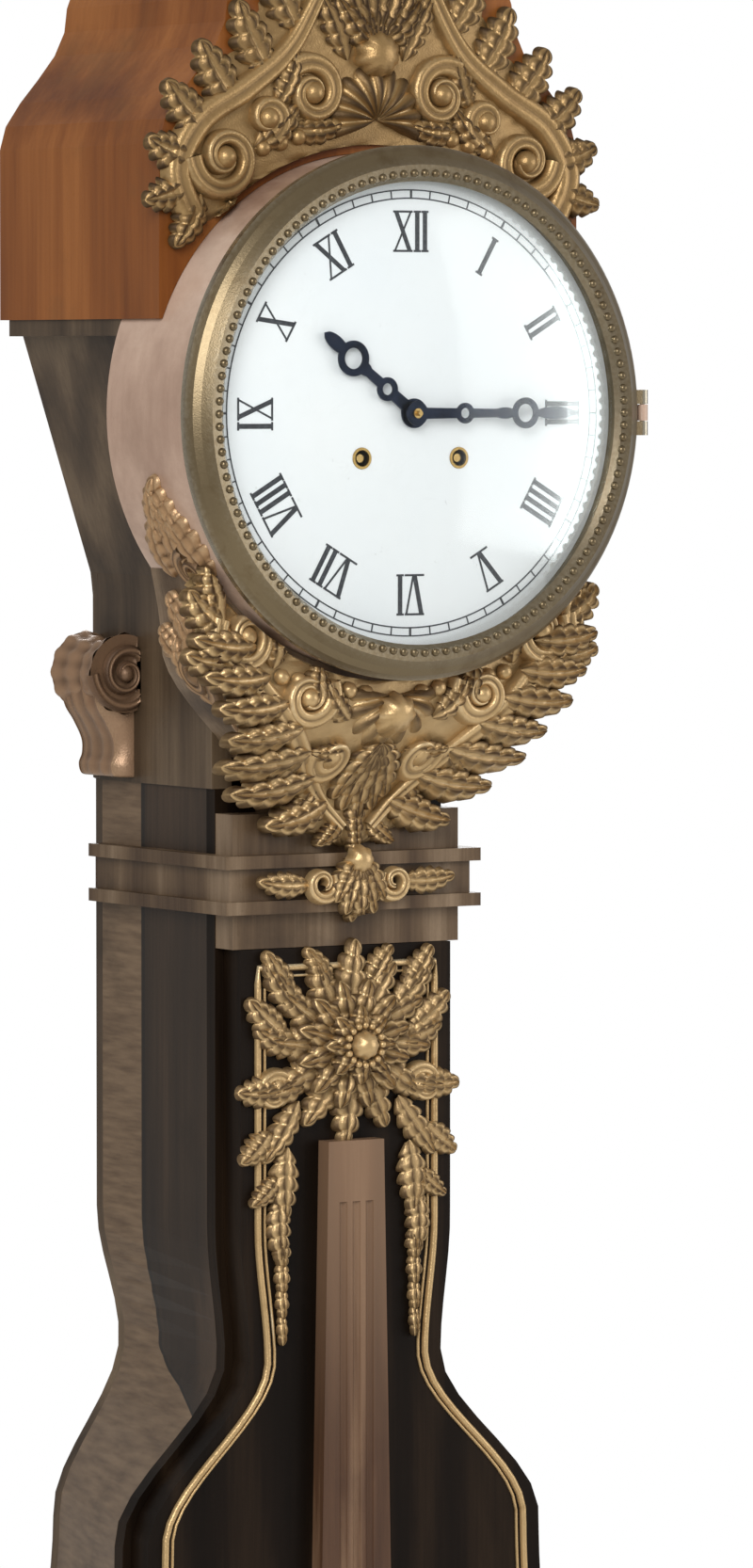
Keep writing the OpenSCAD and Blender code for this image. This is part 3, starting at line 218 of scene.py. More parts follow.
def makeBlued(name, look):
    s = Sheet(name)
    cloud = s.noise(s.place(), 60.0, 4.0)
    scratch = s.noise(s.place((600, 60, 60)), 2.0, 4.0)
    colour = s.ramp(cloud, [(0.3, look["deep"]), (0.55, look["blue"]), (0.75, look["plum"])])
    return s.close(colour, 0.24 + scratch * 0.2, s.bump(scratch, 0.0001, 0.3), Metallic=0.85)


def makeGlass(name, look):
    s = Sheet(name)
    fresnel = s.add("ShaderNodeFresnel", {}, {"IOR": 1.45})
    smears = s.noise(s.place(), 14.0, 5.0, 0.6, 1.0)
    clear = s.add("ShaderNodeBsdfTransparent", {}, {"Color": look["tint"]})
    shine = s.add("ShaderNodeBsdfPrincipled", {}, {"Base Color": (0.9, 0.95, 0.95, 1), "Metallic": 1.0,
                                                   "Roughness": 0.04 + smears * 0.1})
    share = fresnel * look["shine"] + s.span(smears, 0.55, 0.8) * 0.012
    return s.finish(s.add("ShaderNodeMixShader", {}, {0: share, 1: clear, 2: shine}))


walnut = {"dark": ink(24, 15, 8), "mid": ink(42, 30, 19), "light": ink(66, 50, 36), "soil": ink(24, 17, 11),
          "run": (10, 10, 10), "figure": 1.6, "grime": 0.5, "rough": 0.36, "coat": 0.1, "gloss": 0.22}
veneers = {
    # the strip's spread over the belly is painted light, and its dark line painted shade
    "case": dict(walnut, strip=ink(82, 64, 47), stripLight=ink(112, 92, 71), stripAt=0.088, spread=1.21),
    "head": dict(walnut, dark=ink(50, 38, 26), mid=ink(76, 61, 45), light=ink(104, 87, 67)),
    "base": dict(walnut, dark=ink(34, 22, 12), mid=ink(58, 41, 26), light=ink(88, 66, 45)),
    "door": dict(walnut, dark=ink(10, 5, 2), mid=ink(20, 12, 6), light=ink(38, 27, 17),
                 gloss=0.08, coat=0.04),
    "neck": dict(walnut, dark=ink(58, 41, 26), mid=ink(92, 73, 53), light=ink(132, 112, 90)),
    "hood": dict(walnut, dark=ink(90, 46, 15), mid=ink(122, 70, 28), light=ink(148, 92, 44),
                 soil=ink(98, 66, 36), figure=1.1, grime=0.7, gloss=0.15),
    "drum": dict(walnut, dark=ink(138, 108, 90), mid=ink(180, 152, 133), light=ink(206, 182, 164),
                 soil=ink(122, 95, 76), figure=0.9, run=(10, 3, 10), grime=0.45, rough=0.22, coat=0.4),
    # the pilaster's fade paints a highlight, paler towards its top
    "pilaster": dict(walnut, dark=ink(52, 33, 22), mid=ink(82, 57, 40), light=ink(136, 108, 84),
                     soil=ink(62, 42, 32), fade=(1.12, 1.34)),
}
# the ridge colours are rubbed ridges, partly real wear and partly a painted highlight
gilts = {
    "gilt": {"name": "ormolu_gilt", "hollow": ink(66, 45, 22), "body": ink(190, 160, 114),
             "tarnish": ink(150, 120, 78), "ridgeWearAndHighlight": ink(244, 226, 188),
             "shine": 0.9, "rough": 0.3, "matt": 0.5, "metal": 0.6},
    "giltShade": {"name": "ormolu_shade", "hollow": ink(52, 34, 15), "body": ink(158, 128, 84),
                  "tarnish": ink(118, 91, 54), "ridgeWearAndHighlight": ink(232, 212, 170),
                  "shine": 0.85, "rough": 0.3, "matt": 0.5, "metal": 0.65},
    "giltDark": {"name": "ormolu_dark", "hollow": ink(58, 40, 24), "body": ink(164, 130, 94),
                 "tarnish": ink(124, 94, 64), "ridgeWearAndHighlight": ink(224, 200, 162),
                 "shine": 0.8, "rough": 0.34, "matt": 0.5, "metal": 0.55},
    "bezel": {"name": "bezel_bronze", "hollow": ink(50, 39, 24), "body": ink(112, 98, 74),
              "tarnish": ink(88, 70, 44), "ridgeWearAndHighlight": ink(196, 190, 174),
              "shine": 0.6, "rough": 0.26, "matt": 0.18, "metal": 0.8},
    "scroll": {"name": "scroll_bronze", "hollow": ink(58, 38, 24), "body": ink(144, 114, 88),
               "tarnish": ink(112, 80, 56), "ridgeWearAndHighlight": ink(200, 170, 136),
               "shine": 0.6, "rough": 0.34, "matt": 0.4, "metal": 0.5},
}
turned = {
    "brass": {"name": "movement_brass", "dark": ink(150, 116, 60), "light": ink(206, 174, 108),
              "rough": 0.22, "run": (4, 4, 30)},
    "wheel": {"name": "wheel_brass", "dark": ink(164, 130, 72), "light": ink(214, 184, 122),
              "rough": 0.2, "run": (30, 4, 4)},
    "bell": {"name": "bell_metal", "dark": ink(140, 116, 76), "light": ink(190, 168, 122),
             "rough": 0.24, "run": (2, 2, 60)},
    "bob": {"name": "bob_brass", "dark": ink(156, 122, 64), "light": ink(214, 182, 116),
            "rough": 0.2, "run": (3, 3, 3)},
    "steel": {"name": "plain_steel", "dark": ink(112, 114, 118), "light": ink(168, 170, 174),
              "rough": 0.26, "run": (6, 6, 40)},
    "rods": {"name": "rod_metal", "dark": ink(128, 104, 66), "light": ink(190, 170, 128),
             "rough": 0.28, "run": (2, 2, 24)},
}
finishes = {key: makeVeneer(key + "_veneer", look) for key, look in veneers.items()}
finishes.update({key: makeGilt(look["name"], look) for key, look in gilts.items()})
finishes.update({key: makeTurned(look["name"], look) for key, look in turned.items()})
finishes.update({
    "enamel": makeEnamel("dial_enamel", {"cool": ink(238, 244, 248), "warm": ink(248, 250, 250),
                                         "speck": ink(150, 150, 146), "crack": ink(190, 190, 186),
                                         "rough": 0.12, "cracks": 0.3}),
    "numeral": makeInk("numeral_enamel", {"deep": ink(38, 40, 46), "thin": ink(74, 78, 84)}),
    "hands": makeBlued("blued_steel", {"deep": ink(20, 24, 34), "blue": ink(34, 42, 60),
                                       "plum": ink(46, 40, 52)}),
    "glass": makeGlass("clear_glass", {"tint": (0.99, 0.995, 0.995, 1), "shine": 0.35}),
})
print("finishes made:", len(finishes))

wearers = {
    "base": "plinth base_case seat_board",
    "case": "trunk_side_left trunk_side_right",
    "door": "trunk_front_frame trunk_door",
    "head": "back_board head_case",
    "neck": "neck_panel neck_moulding drum_corbel",
    "hood": "hood_cap", "drum": "drum_shell", "pilaster": "pilaster",
    "enamel": "dial_plate", "numeral": "dial_numerals", "hands": "hour_hand minute_hand",
    "glass": "window_glass dial_glass",
    "brass": "winding_collars front_plate back_plate back_cock door_hinge_case door_hinge_leaf lock_case "
             "door_key",
    "wheel": "plate_pillars cannon_pinion minute_wheel hour_wheel centre_wheel third_wheel escape_wheel "
             "going_barrel strike_barrel pin_wheel fly rating_nut",
    "steel": "bell_stand anchor hammer suspension_spring lock_bolt",
    "bell": "bell", "rods": "gridiron_rods", "bob": "bob", "bezel": "bezel_ring", "scroll": "ear_scrolls",
    "gilt": "crest_mount apron_mount side_mounts rosette_mount door_mounts foot_mounts finial window_ring "
            "key_escutcheon",
}
nodeFinish = {name: finish for finish, names in wearers.items() for name in names.split()}

# edges rounded on the carried pieces, in metres
softEdges = {"plinth": 0.003, "hood_cap": 0.003, "neck_moulding": 0.002, "drum_corbel": 0.002,
             "base_case": 0.0018, "head_case": 0.0015, "trunk_side_left": 0.0015, "trunk_side_right": 0.0015,
             "trunk_door": 0.0012, "pilaster": 0.0012, "drum_shell": 0.0012, "seat_board": 0.001,
             "neck_panel": 0.001, "key_escutcheon": 0.0006, "door_key": 0.0006, "hour_hand": 0.0003,
             "minute_hand": 0.0003}


def dressNodes():
    for name, node in nodes.items():
        node.data.materials.clear()
        node.data.materials.append(finishes[nodeFinish[name]])
        if name in softEdges:
            edge = node.modifiers.new("edge", "BEVEL")
            edge.width, edge.segments, edge.limit_method = softEdges[name], 2, "ANGLE"
            edge.angle_limit = math.radians(35)


dressNodes()
print("carried pieces dressed:", len(nodes))


# the clock's own curves, as in the solid model, in metres

clock = {"dialZ": 1.790, "bezelR": 0.162, "drumR": 0.158, "faceY": -0.095, "hoodY": -0.050, "doorY": -0.021,
         "boardY": 0.137, "neckTopZ": 1.560, "bobZ": 0.868, "plinthTopZ": 0.096, "baseTopZ": 0.590,
         "doorTopZ": 1.462, "corbelZ": 1.545, "rosetteZ": 1.402, "hoodTopZ": 2.115}


def ease(t):
    return t * t * (3 - 2 * t)


def follow(stations, z):
    if z <= stations[0][0]:
        return stations[0][1]
    for (low, first), (high, second) in zip(stations, stations[1:]):
        if z < high:
            return first + (second - first) * ease((z - low) / (high - low))
    return stations[-1][1]


def frontHalf(z):
    return follow([(clock["plinthTopZ"], 0.196), (clock["baseTopZ"], 0.128), (clock["bobZ"], 0.165),
                   (1.100, 0.148), (1.208, 0.075), (1.290, 0.082)], z)


def baseFront(z):
    return follow([(clock["plinthTopZ"], -0.118), (clock["baseTopZ"], clock["doorY"])], z)


def corbelFront(z):
    return follow([(clock["corbelZ"], clock["doorY"]),
                   (clock["dialZ"] - 1.08 * clock["bezelR"], clock["faceY"] + 0.29 * 0.0944)], z)


def corbelHalf(z):
    return follow([(clock["corbelZ"], 0.0528), (clock["dialZ"] - 0.86 * clock["bezelR"], 0.1201),
                   (clock["dialZ"] - 0.37 * clock["bezelR"], 0.132)], z)


def crestHalf(z):
    share = (z - 1.902) / 0.208
    widths = [(0, 0.98), (0.22, 0.96), (0.42, 0.80), (0.62, 0.60), (0.84, 0.30), (1, 0.05)]
    return 0.150 * follow(widths, share)


def apronHalf(z):
    share = (z - 1.5217) / 0.176
    widths = [(0, 0.03), (0.09, 0.29), (0.25, 0.57), (0.5, 0.76), (0.73, 0.98), (1, 1)]
    return 0.147 * follow(widths, share)


# castings: ornament drawn flat as (across, up, height) and laid on a ground

rim = -0.0004  # height of an ornament's edges, which stand() lifts clear of the ground


def stand(height, skin=0.0003):
    # metres off the ground, at least 0.1 mm
    return skin + max(height, -0.0002)


class Casting:
    def __init__(self, ground):
        self.ground, self.points, self.faces = ground, [], []

    def net(self, rows):
        start, wide = len(self.points), len(rows[0])
        for row in rows:
            self.points.extend(self.ground(*point) for point in row)
        for i in range(len(rows) - 1):
            for k in range(wide - 1):
                a = start + i * wide + k
                self.faces.append((a, a + wide, a + wide + 1, a + 1))

    def leaf(self, at, turn, long, wide, rise, lobes=5, bend=0.0, curl=0.4, lift=0.0):
        # an acanthus leaf from its stalk at a point, turned clockwise from straight up
        rows, (x, z) = [], at
        steps, across = 8 * lobes, 12
        for i in range(steps + 1):
            u = i / steps
            heading = math.radians(turn + bend * u)
            side = (math.cos(heading), -math.sin(heading))
            ahead = (math.sin(heading), math.cos(heading))
            wave = abs(math.sin(math.pi * lobes * u)) ** 0.7
            full = math.sin(math.pi * min(1, 0.06 + 0.94 * u ** 0.8)) ** 0.7
            half = wide / 2 * full * (0.62 + 0.38 * wave)
            crown = rise * (0.3 + 0.7 * math.sin(math.pi * min(1.0, u * 0.9)) ** 0.8) * (0.86 + 0.14 * wave)
            crown += rise * curl * ease(max(0.0, (u - 0.6) / 0.4)) * math.sin(math.pi * min(1, 0.5 + u / 2))
            row = []
            for k in range(across + 1):
                v = 2 * k / across - 1
                lean = long * 0.09 * abs(v) ** 1.5 * (0.4 + 0.6 * wave)
                flute = 1 - 0.5 * v * v - 0.16 * math.cos(3 * math.pi * v) - 0.28 * max(0, 1 - abs(v) * 7)
                height = lift + crown * flute if 0 < k < across else lift * 0.6 + rim
                row.append((x + side[0] * half * v + ahead[0] * lean,
                            z + side[1] * half * v + ahead[1] * lean, height))
            rows.append(row)
            x += ahead[0] * long / steps
            z += ahead[1] * long / steps
        self.net(rows)

    def leaves(self, spots, rise, lift=0.0, side=1, lobes=5, up=0.0):
        # mirrored where side is -1
        for (x, z), turn, long, wide, bend in spots:
            self.leaf((side * x, up + z), side * turn, long, wide, rise, lobes, side * bend, lift=lift)

    def fan(self, at, turns, middle, long, less, wide, rise, lean, lift, lobes=5):
        # leaves from one point, shorter and more bent away from the middle
        for turn in turns:
            away = turn - middle
            self.leaf(at, turn, long - abs(away) * less, wide, rise, lobes, -away * lean, lift=lift)

    def wreath(self, at, radius, count, longs, wide, rise, lift, start=0, lobes=3, bend=0):
        # a round of leaves that point outwards, with their lengths taken in turn
        for k in range(count):
            turn = start + 360 / count * k
            heading = math.radians(turn)
            stalk = (at[0] + radius * math.sin(heading), at[1] + radius * math.cos(heading))
            self.leaf(stalk, turn, longs[k % len(longs)], wide, rise, lobes, bend, lift=lift)

    def band(self, path, widths, rise, groove=0.3, lift=0.0):
        # a raised strap along a path, with a sunk line down its middle
        rows, across = [], 10
        for i, (x, z) in enumerate(path):
            before, after = path[max(0, i - 1)], path[min(len(path) - 1, i + 1)]
            dx, dz = after[0] - before[0], after[1] - before[1]
            size = math.hypot(dx, dz) or 1e-6
            half = widths(i / (len(path) - 1))
            row = []
            for k in range(across + 1):
                t = 2 * k / across - 1
                crown = rise * math.sqrt(max(0.0, 1 - t * t)) * (1 - groove * math.exp(-(t / 0.3) ** 2))
                row.append((x - dz / size * half * t, z + dx / size * half * t,
                            lift + crown if 0 < k < across else rim))
            rows.append(row)
        self.net(rows)

    def scroll(self, at, outer, inner, start, turns, way, wide, rise, lift=0.0, side=1, boss=None):
        # wide is the half width at the outer and the inner end, boss the dome at its eye
        self.band(flip(coil(at, outer, inner, start, turns, way), side), taper(*wide), rise, lift=lift)
        if boss:
            self.dome((side * at[0], at[1]), *boss)

    def dome(self, at, radius, rise, lift=0.0, ribs=0, deep=0.0):
        rows = []
        for i in range(9):
            share = math.cos(math.pi / 2 * i / 8)
            ring = []
            for k in range(33):
                turn = 2 * math.pi * k / 32
                out = radius * share * (1 + deep * math.cos(ribs * turn) * share)
                ring.append((at[0] + out * math.sin(turn), at[1] + out * math.cos(turn),
                             lift + rise * math.sin(math.pi / 2 * i / 8) if i else lift + rim))
            rows.append(ring)
        self.net(rows)

    def beads(self, at, radius, count, size, rise, lift):
        for k in range(count):
            turn = 2 * math.pi * k / count
            self.dome((at[0] + radius * math.sin(turn), at[1] + radius * math.cos(turn)), size, rise, lift)

    def shell(self, at, turn, radius, rise, ribs, spread):
        rows, across = [], ribs * 6
        for i in range(13):
            share = i / 12
            row = []
            for k in range(across + 1):
                t = k / across
                heading = math.radians(turn + spread * (t - 0.5))
                rib = abs(math.sin(math.pi * ribs * t))
                out = radius * share * (0.88 + 0.12 * rib)
                height = rise * math.sin(math.pi * (0.12 + 0.8 * share)) * (0.62 + 0.38 * rib) + 0.001
                if i == 12 or k in (0, across):
                    height = rim
                row.append((at[0] + out * math.sin(heading), at[1] + out * math.cos(heading), height))
            rows.append(row)
        self.net(rows)

    def plate(self, look, half):
        # the cast ground that the leaves stand on
        rows, steps, across = [], 44, 24
        for i in range(steps + 1):
            z = look["low"] + look["tall"] * i / steps
            wide = half(z) * look["fill"] + look["scallop"] * math.sin(i * 1.9) * math.sin(i * 0.7 + 1)
            row = []
            for k in range(across + 1):
                v = 2 * k / across - 1
                inside = 0 < k < across and 0 < i < steps
                swell = look["ground"] * (1 - abs(v) ** 5) + 0.0008 * math.sin(k * 2.3 + i * 1.7)
                row.append((wide * v, z, swell if inside else rim))
            rows.append(row)
        self.net(rows)

    def cast(self, name, finish, body, slot="ormolu"):
        mesh = bpy.data.meshes.new(name)
        mesh.from_pydata(self.points, [], self.faces)
        mesh.materials.append(finishes[finish])
        mesh.polygons.foreach_set("use_smooth", [True] * len(mesh.polygons))
        mesh.validate()
        mesh.update()
        piece = bpy.data.objects.new(name, mesh)
        bpy.context.scene.collection.objects.link(piece)
        weld = piece.modifiers.new("weld", "WELD")
        weld.merge_threshold = 0.00001
        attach(piece, body)
        return piece


def coil(at, outer, inner, start, turns, clockwise=1, count=44):
    # points of a spiral that winds inwards
    path = []
    for i in range(count + 1):
        t = i / count
        radius = outer + (inner - outer) * t ** 0.85
        turn = math.radians(start + clockwise * 360 * turns * t)
        path.append((at[0] + radius * math.sin(turn), at[1] + radius * math.cos(turn)))
    return path


def smoothPath(points, each=10):
    # a curve through all the points
    path = []
    for i in range(len(points) - 1):
        before, after = points[max(0, i - 1)], points[min(len(points) - 1, i + 2)]
        quads = list(zip(before, points[i], points[i + 1], after))
        for k in range(each):
            t = k / each
            path.append(tuple(0.5 * (2 * b + (c - a) * t + (2 * a - 5 * b + 4 * c - d) * t * t
                                     + (3 * b - a - 3 * c + d) * t ** 3) for a, b, c, d in quads))
    return path + [points[-1]]


def taper(start, end, swell=0.0):
    return lambda t: start + (end - start) * t + swell * math.sin(math.pi * t)


def flip(path, side):
    return [(side * x, z) for x, z in path]


def outsideBezel(x, z, clear=0.0012):
    # keeps ornament off the drum and its bezel
    dx, dz = x, z - clock["dialZ"]
    radius = math.hypot(dx, dz)
    least = clock["bezelR"] + clear
    if radius >= least or radius < 1e-6:
        return x, z
    return dx * least / radius, clock["dialZ"] + dz * least / radius


# crest over the drum

# in the looks, a scroll is (centre, outer radius, inner radius, start, turns, way) and a leaf is (stalk,
# turn, length, width, bend)
crestLook = {
    "low": 1.904, "tall": 0.196, "fill": 0.92, "ground": 0.004, "scallop": 0.004, "rise": 0.007,
    "sweepWide": (0.0095, 0.004, 0.002), "scrollWide": (0.0078, 0.003), "boss": (0.0072, 0.008, 0.006),
    # long C scrolls that rise from the drum's shoulders to the plume
    "sweep": [(0.128, 1.906), (0.140, 1.936), (0.124, 1.966), (0.092, 1.986), (0.062, 2.010),
              (0.040, 2.046), (0.020, 2.088)],
    "scrolls": [((0.108, 1.944), 0.023, 0.004, 90, 1.5, 1), ((0.046, 1.984), 0.020, 0.004, 40, 1.4, -1),
                ((0.078, 1.968), 0.012, 0.003, 200, 1.2, 1)],
    "leaves": [((0.124, 1.922), 160, 0.036, 0.024, -20), ((0.132, 1.928), 118, 0.032, 0.024, -20),
               ((0.128, 1.944), 86, 0.034, 0.026, -30), ((0.118, 1.962), 62, 0.040, 0.028, -30),
               ((0.098, 1.978), 48, 0.044, 0.030, -24), ((0.074, 1.996), 42, 0.048, 0.030, -26),
               ((0.054, 2.022), 40, 0.046, 0.028, -26), ((0.038, 2.046), 36, 0.042, 0.024, -24),
               ((0.024, 2.066), 28, 0.038, 0.020, -20), ((0.086, 1.950), -64, 0.040, 0.022, 30),
               ((0.070, 1.976), -36, 0.036, 0.022, 30), ((0.020, 2.004), 20, 0.044, 0.022, 14),
               ((0.060, 1.962), -100, 0.036, 0.020, 30), ((0.104, 1.918), 200, 0.026, 0.018, 20)],
}


def makeCrest():
    def ground(x, z, h):
        x, z = outsideBezel(x, z)
        return x, clock["hoodY"] - stand(h), z
    look, c = crestLook, Casting(ground)
    c.plate(look, crestHalf)
    for side in (-1, 1):
        c.band(flip(smoothPath(look["sweep"]), side), taper(*look["sweepWide"]), look["rise"], lift=0.003)
        for scroll in look["scrolls"]:
            c.scroll(*scroll, wide=look["scrollWide"], rise=look["rise"], lift=0.004, side=side,
                     boss=look["boss"])
        c.leaves(look["leaves"], rise=look["rise"], lift=0.003, side=side)
        for i in range(7):
            c.dome((side * (0.030 + 0.0125 * i), 1.964 - 0.0035 * i), radius=0.0052, rise=0.005, lift=0.004)
    c.shell((0, 1.968), turn=0, radius=0.036, rise=0.012, ribs=11, spread=230)
    c.fan((0, 2.014), (-62, -42, -20, 0, 20, 42, 62), middle=0, long=0.058, less=0.0003, wide=0.024,
          rise=0.010, lean=0.5, lift=0.004)
    c.fan((0, 2.056), (-26, 0, 26), middle=0, long=0.050, less=0.0004, wide=0.022, rise=0.009, lean=0.4,
          lift=0.004)
    c.dome((0, 2.008), radius=0.015, rise=0.014, lift=0.004, ribs=10, deep=0.08)
    piece = c.cast("gilt_crest", "giltShade", "case")
    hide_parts("crest_mount")


# apron under the drum

apronLook = {
    "low": 1.523, "tall": 0.172, "fill": 0.95, "ground": 0.007, "scallop": 0.005, "rise": 0.009,
    "sweepWide": (0.009, 0.004, 0.002), "scrollWide": (0.0075, 0.003), "boss": (0.0065, 0.008, 0.009),
    "leafRise": 0.010,
    "sweep": [(0.128, 1.682), (0.126, 1.660), (0.104, 1.634), (0.082, 1.610), (0.058, 1.586),
              (0.034, 1.560), (0.010, 1.536)],
    "scrolls": [((0.106, 1.656), 0.021, 0.004, 60, 1.4, 1), ((0.062, 1.618), 0.018, 0.004, 300, 1.4, -1),
                ((0.032, 1.578), 0.012, 0.004, 60, 1.4, 1)],
    "leaves": [((0.118, 1.662), 76, 0.036, 0.026, -50), ((0.108, 1.644), 112, 0.040, 0.026, -50),
               ((0.070, 1.606), 140, 0.036, 0.022, -40), ((0.050, 1.586), 150, 0.036, 0.020, -40),
               ((0.032, 1.564), 158, 0.032, 0.018, -36), ((0.086, 1.636), -10, 0.030, 0.020, 30),
               ((0.052, 1.610), 20, 0.030, 0.020, -30), ((0.030, 1.604), 60, 0.034, 0.020, -40),
               ((0.020, 1.584), 110, 0.030, 0.018, -40), ((0.122, 1.672), 40, 0.030, 0.022, -40),
               ((0.010, 1.540), 140, 0.022, 0.014, -20)],
    # the fringe down the V, out to the edge that the photo shows
    "fringe": [((0.100, 1.650), 96, 0.044), ((0.090, 1.632), 102, 0.046), ((0.077, 1.616), 106, 0.049),
               ((0.063, 1.600), 110, 0.051), ((0.049, 1.584), 110, 0.060), ((0.036, 1.568), 112, 0.058),
               ((0.022, 1.552), 120, 0.046)],
    "fringeWide": 0.024, "fringeRise": 0.013, "fringeBend": -26, "fringeLift": 0.009,
}


def makeApron():
    def ground(x, z, h):
        x, z = outsideBezel(x, z)
        return x, corbelFront(z) - stand(h), z
    look, c = apronLook, Casting(ground)
    c.plate(look, apronHalf)
    fringe = [spot + (look["fringeWide"], look["fringeBend"]) for spot in look["fringe"]]
    for side in (-1, 1):
        c.band(flip(smoothPath(look["sweep"]), side), taper(*look["sweepWide"]), look["rise"], lift=0.006)
        for scroll in look["scrolls"]:
            c.scroll(*scroll, wide=look["scrollWide"], rise=look["rise"], lift=0.007, side=side,
                     boss=look["boss"])
        c.leaves(look["leaves"], rise=look["leafRise"], lift=0.006, side=side)
        c.leaves(fringe, rise=look["fringeRise"], lift=look["fringeLift"], side=side)
        for i in range(6):
            c.dome((side * (0.020 + 0.012 * i), 1.620 + 0.0022 * i), radius=0.005, rise=0.005, lift=0.008)
    c.shell((0, 1.618), turn=180, radius=0.036, rise=0.014, ribs=9, spread=210)
    c.fan((0, 1.588), (140, 160, 180, 200, 220), middle=180, long=0.046, less=0.0002, wide=0.022,
          rise=0.011, lean=0.6, lift=0.007)
    for i in range(3):
        c.leaf((0, 1.556 - 0.010 * i), turn=180, long=0.022 - 0.003 * i, wide=0.016 - 0.003 * i, rise=0.010,
               lobes=3, lift=0.005)
    c.dome((0, 1.606), radius=0.014, rise=0.016, lift=0.007, ribs=8, deep=0.1)
    piece = c.cast("gilt_apron", "gilt", "case")
    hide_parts("apron_mount")


# leaves on the corbel's flanks and under the drum

sideLook = {
    "rise": 0.007,
    "flank": [((0.006, 1.566), 6, 0.050, 0.022, 20), ((0.010, 1.592), 14, 0.054, 0.026, 24),
              ((0.012, 1.624), 20, 0.056, 0.030, 20), ((0.030, 1.612), 30, 0.044, 0.026, -30),
              ((0.016, 1.650), 60, 0.044, 0.028, -30), ((0.034, 1.640), 70, 0.034, 0.022, -40)],
    # back from the dial's face, and metres round the drum from straight down
    "drum": [((0.022, 0.142), 8, 0.050, 0.030, 20), ((0.044, 0.140), 0, 0.056, 0.032, -14),
             ((0.068, 0.142), -8, 0.048, 0.028, -20), ((0.034, 0.166), 10, 0.044, 0.024, 24),
             ((0.056, 0.168), -6, 0.044, 0.024, -24)],
}


def makeSideMounts():
    for side, word in ((-1, "left"), (1, "right")):
        def flank(s, z, h, side=side):
            return side * (corbelHalf(z) + stand(h)), min(corbelFront(z) + s, -0.002), z

        def rolled(s, along, h, side=side):
            radius, angle = clock["drumR"] + stand(h), along / clock["drumR"]
            x, drop = radius * math.sin(angle), radius * math.cos(angle)
            return side * x, clock["faceY"] + s, clock["dialZ"] - drop
        c = Casting(flank)
        c.leaves(sideLook["flank"], rise=sideLook["rise"])
        c.scroll((0.026, 1.630), outer=0.016, inner=0.004, start=200, turns=1.4, way=1,
                 wide=(0.006, 0.0025), rise=0.007, lift=0.003, boss=(0.006, 0.008, 0.004))
        first = c.cast("flank_leaves_" + word, "giltDark", "case")
        d = Casting(rolled)
        d.leaves(sideLook["drum"], rise=sideLook["rise"])
        d.scroll((0.034, 0.150), outer=0.014, inner=0.004, start=0, turns=1.3, way=1, wide=(0.005, 0.0025),
                 rise=0.006, lift=0.003)
        second = d.cast("drum_leaves_" + word, "giltDark", "case")
        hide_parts("side_mounts")
        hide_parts("side_mounts")


# scrolls at the sides of the head

earLook = {
    "radius": 0.024, "length": 0.048, "z": 1.628, "x": 0.0936, "wall": 0.0841, "flutes": 12, "flute": 0.03,
    # the bracket's edge, as (out, down) in shares of the radius and the tail
    "bracket": [(1.30, 0.0), (1.12, -0.30), (0.84, -0.46), (0.58, -0.64), (0.56, -0.78), (0.66, -0.88),
                (0.56, -0.98), (0.20, -1.0)],
}


def makeEarScrolls():
    radius, long, zAt, wall = earLook["radius"], earLook["length"], earLook["z"], earLook["wall"]
    tail = zAt - clock["neckTopZ"] - 0.003
    back, front = clock["boardY"], clock["boardY"] - long
    around = [2 * math.pi * k / 72 for k in range(73)]
    outline = smoothPath(earLook["bracket"], 6)

    def ring(y, out, flute=0.0):
        row = []
        for turn in around:
            far = out * (1 + flute * math.cos(earLook["flutes"] * turn))
            row.append((earLook["x"] + far * math.cos(turn), y, zAt + far * math.sin(turn)))
        return row

    def waist(t):
        return 1 - 0.16 * math.sin(math.pi * t) ** 2 + 0.04 * math.cos(6 * math.pi * t)

    for side, word in ((-1, "left"), (1, "right")):
        c = Casting(lambda a, b, h, side=side: (side * max(a, wall), b, h))
        c.net([ring(back - long * i / 24, radius * waist(i / 24), earLook["flute"]) for i in range(25)])
        c.net([ring(back - 0.0003, radius * 1.03 * s) for s in (1, 0.5, 0.02)])
        c.net([ring(front + 0.003 * (1 - s), radius * s) for s in (1.02, 0.9, 0.6, 0.3, 0.02)])
        # the bracket below: a leaf-shaped console that ends in a small roll
        rows = []
        for reach, drop in outline:
            row = []
            for k in range(19):
                t = k / 18
                rib = 1 - 0.10 * abs(math.sin(3 * math.pi * t)) if 0 < k < 18 else 0.0
                row.append((wall + radius * reach * rib, back - 1.8 * radius * t, zAt + tail * drop))
            rows.append(row)
        c.net(rows)
        c.net([[(wall + radius * reach * 0.95 * s, back - 0.0003, zAt + tail * drop) for s in (0, 0.5, 1)]
               for reach, drop in outline])

        def onRoll(a, b, h, side=side):
            return side * max(wall, earLook["x"] + a), front - max(h, -0.002), zAt + b
        c.ground = onRoll
        c.band(coil((0, 0), radius * 0.96, 0.003, 90, 2.1, 1, 70), taper(0.0042, 0.0018), 0.0042)
        c.dome((0, 0), radius=0.005, rise=0.005, lift=0.001)
        piece = c.cast("ear_scroll_" + word, "scroll", "case")
        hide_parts("ear_scrolls")


# rosette and foliage on the door's head

rosetteLook = {
    # stalks from the rosette's middle: to the door's edges and down beside the pilaster
    "foliage": [((0.030, 0.018), 52, 0.044, 0.022, -20), ((0.034, 0), 86, 0.034, 0.022, -30),
                ((0.030, -0.020), 118, 0.040, 0.022, -30), ((0.036, -0.034), 150, 0.044, 0.020, -10),
                ((0.044, -0.062), 170, 0.044, 0.022, 14), ((0.014, 0.034), 24, 0.030, 0.018, 20),
                ((0.044, 0.006), 60, 0.036, 0.022, -20), ((0.048, -0.024), 110, 0.032, 0.022, -30),
                ((0.056, -0.052), 140, 0.028, 0.020, -20), ((0.050, -0.092), 176, 0.040, 0.018, 10),
                ((0.040, 0.030), 40, 0.034, 0.020, -10), ((0.050, -0.080), 140, 0.026, 0.016, -20)],
}


def onDoor(x, z, h):
    return x, clock["doorY"] - stand(h), z


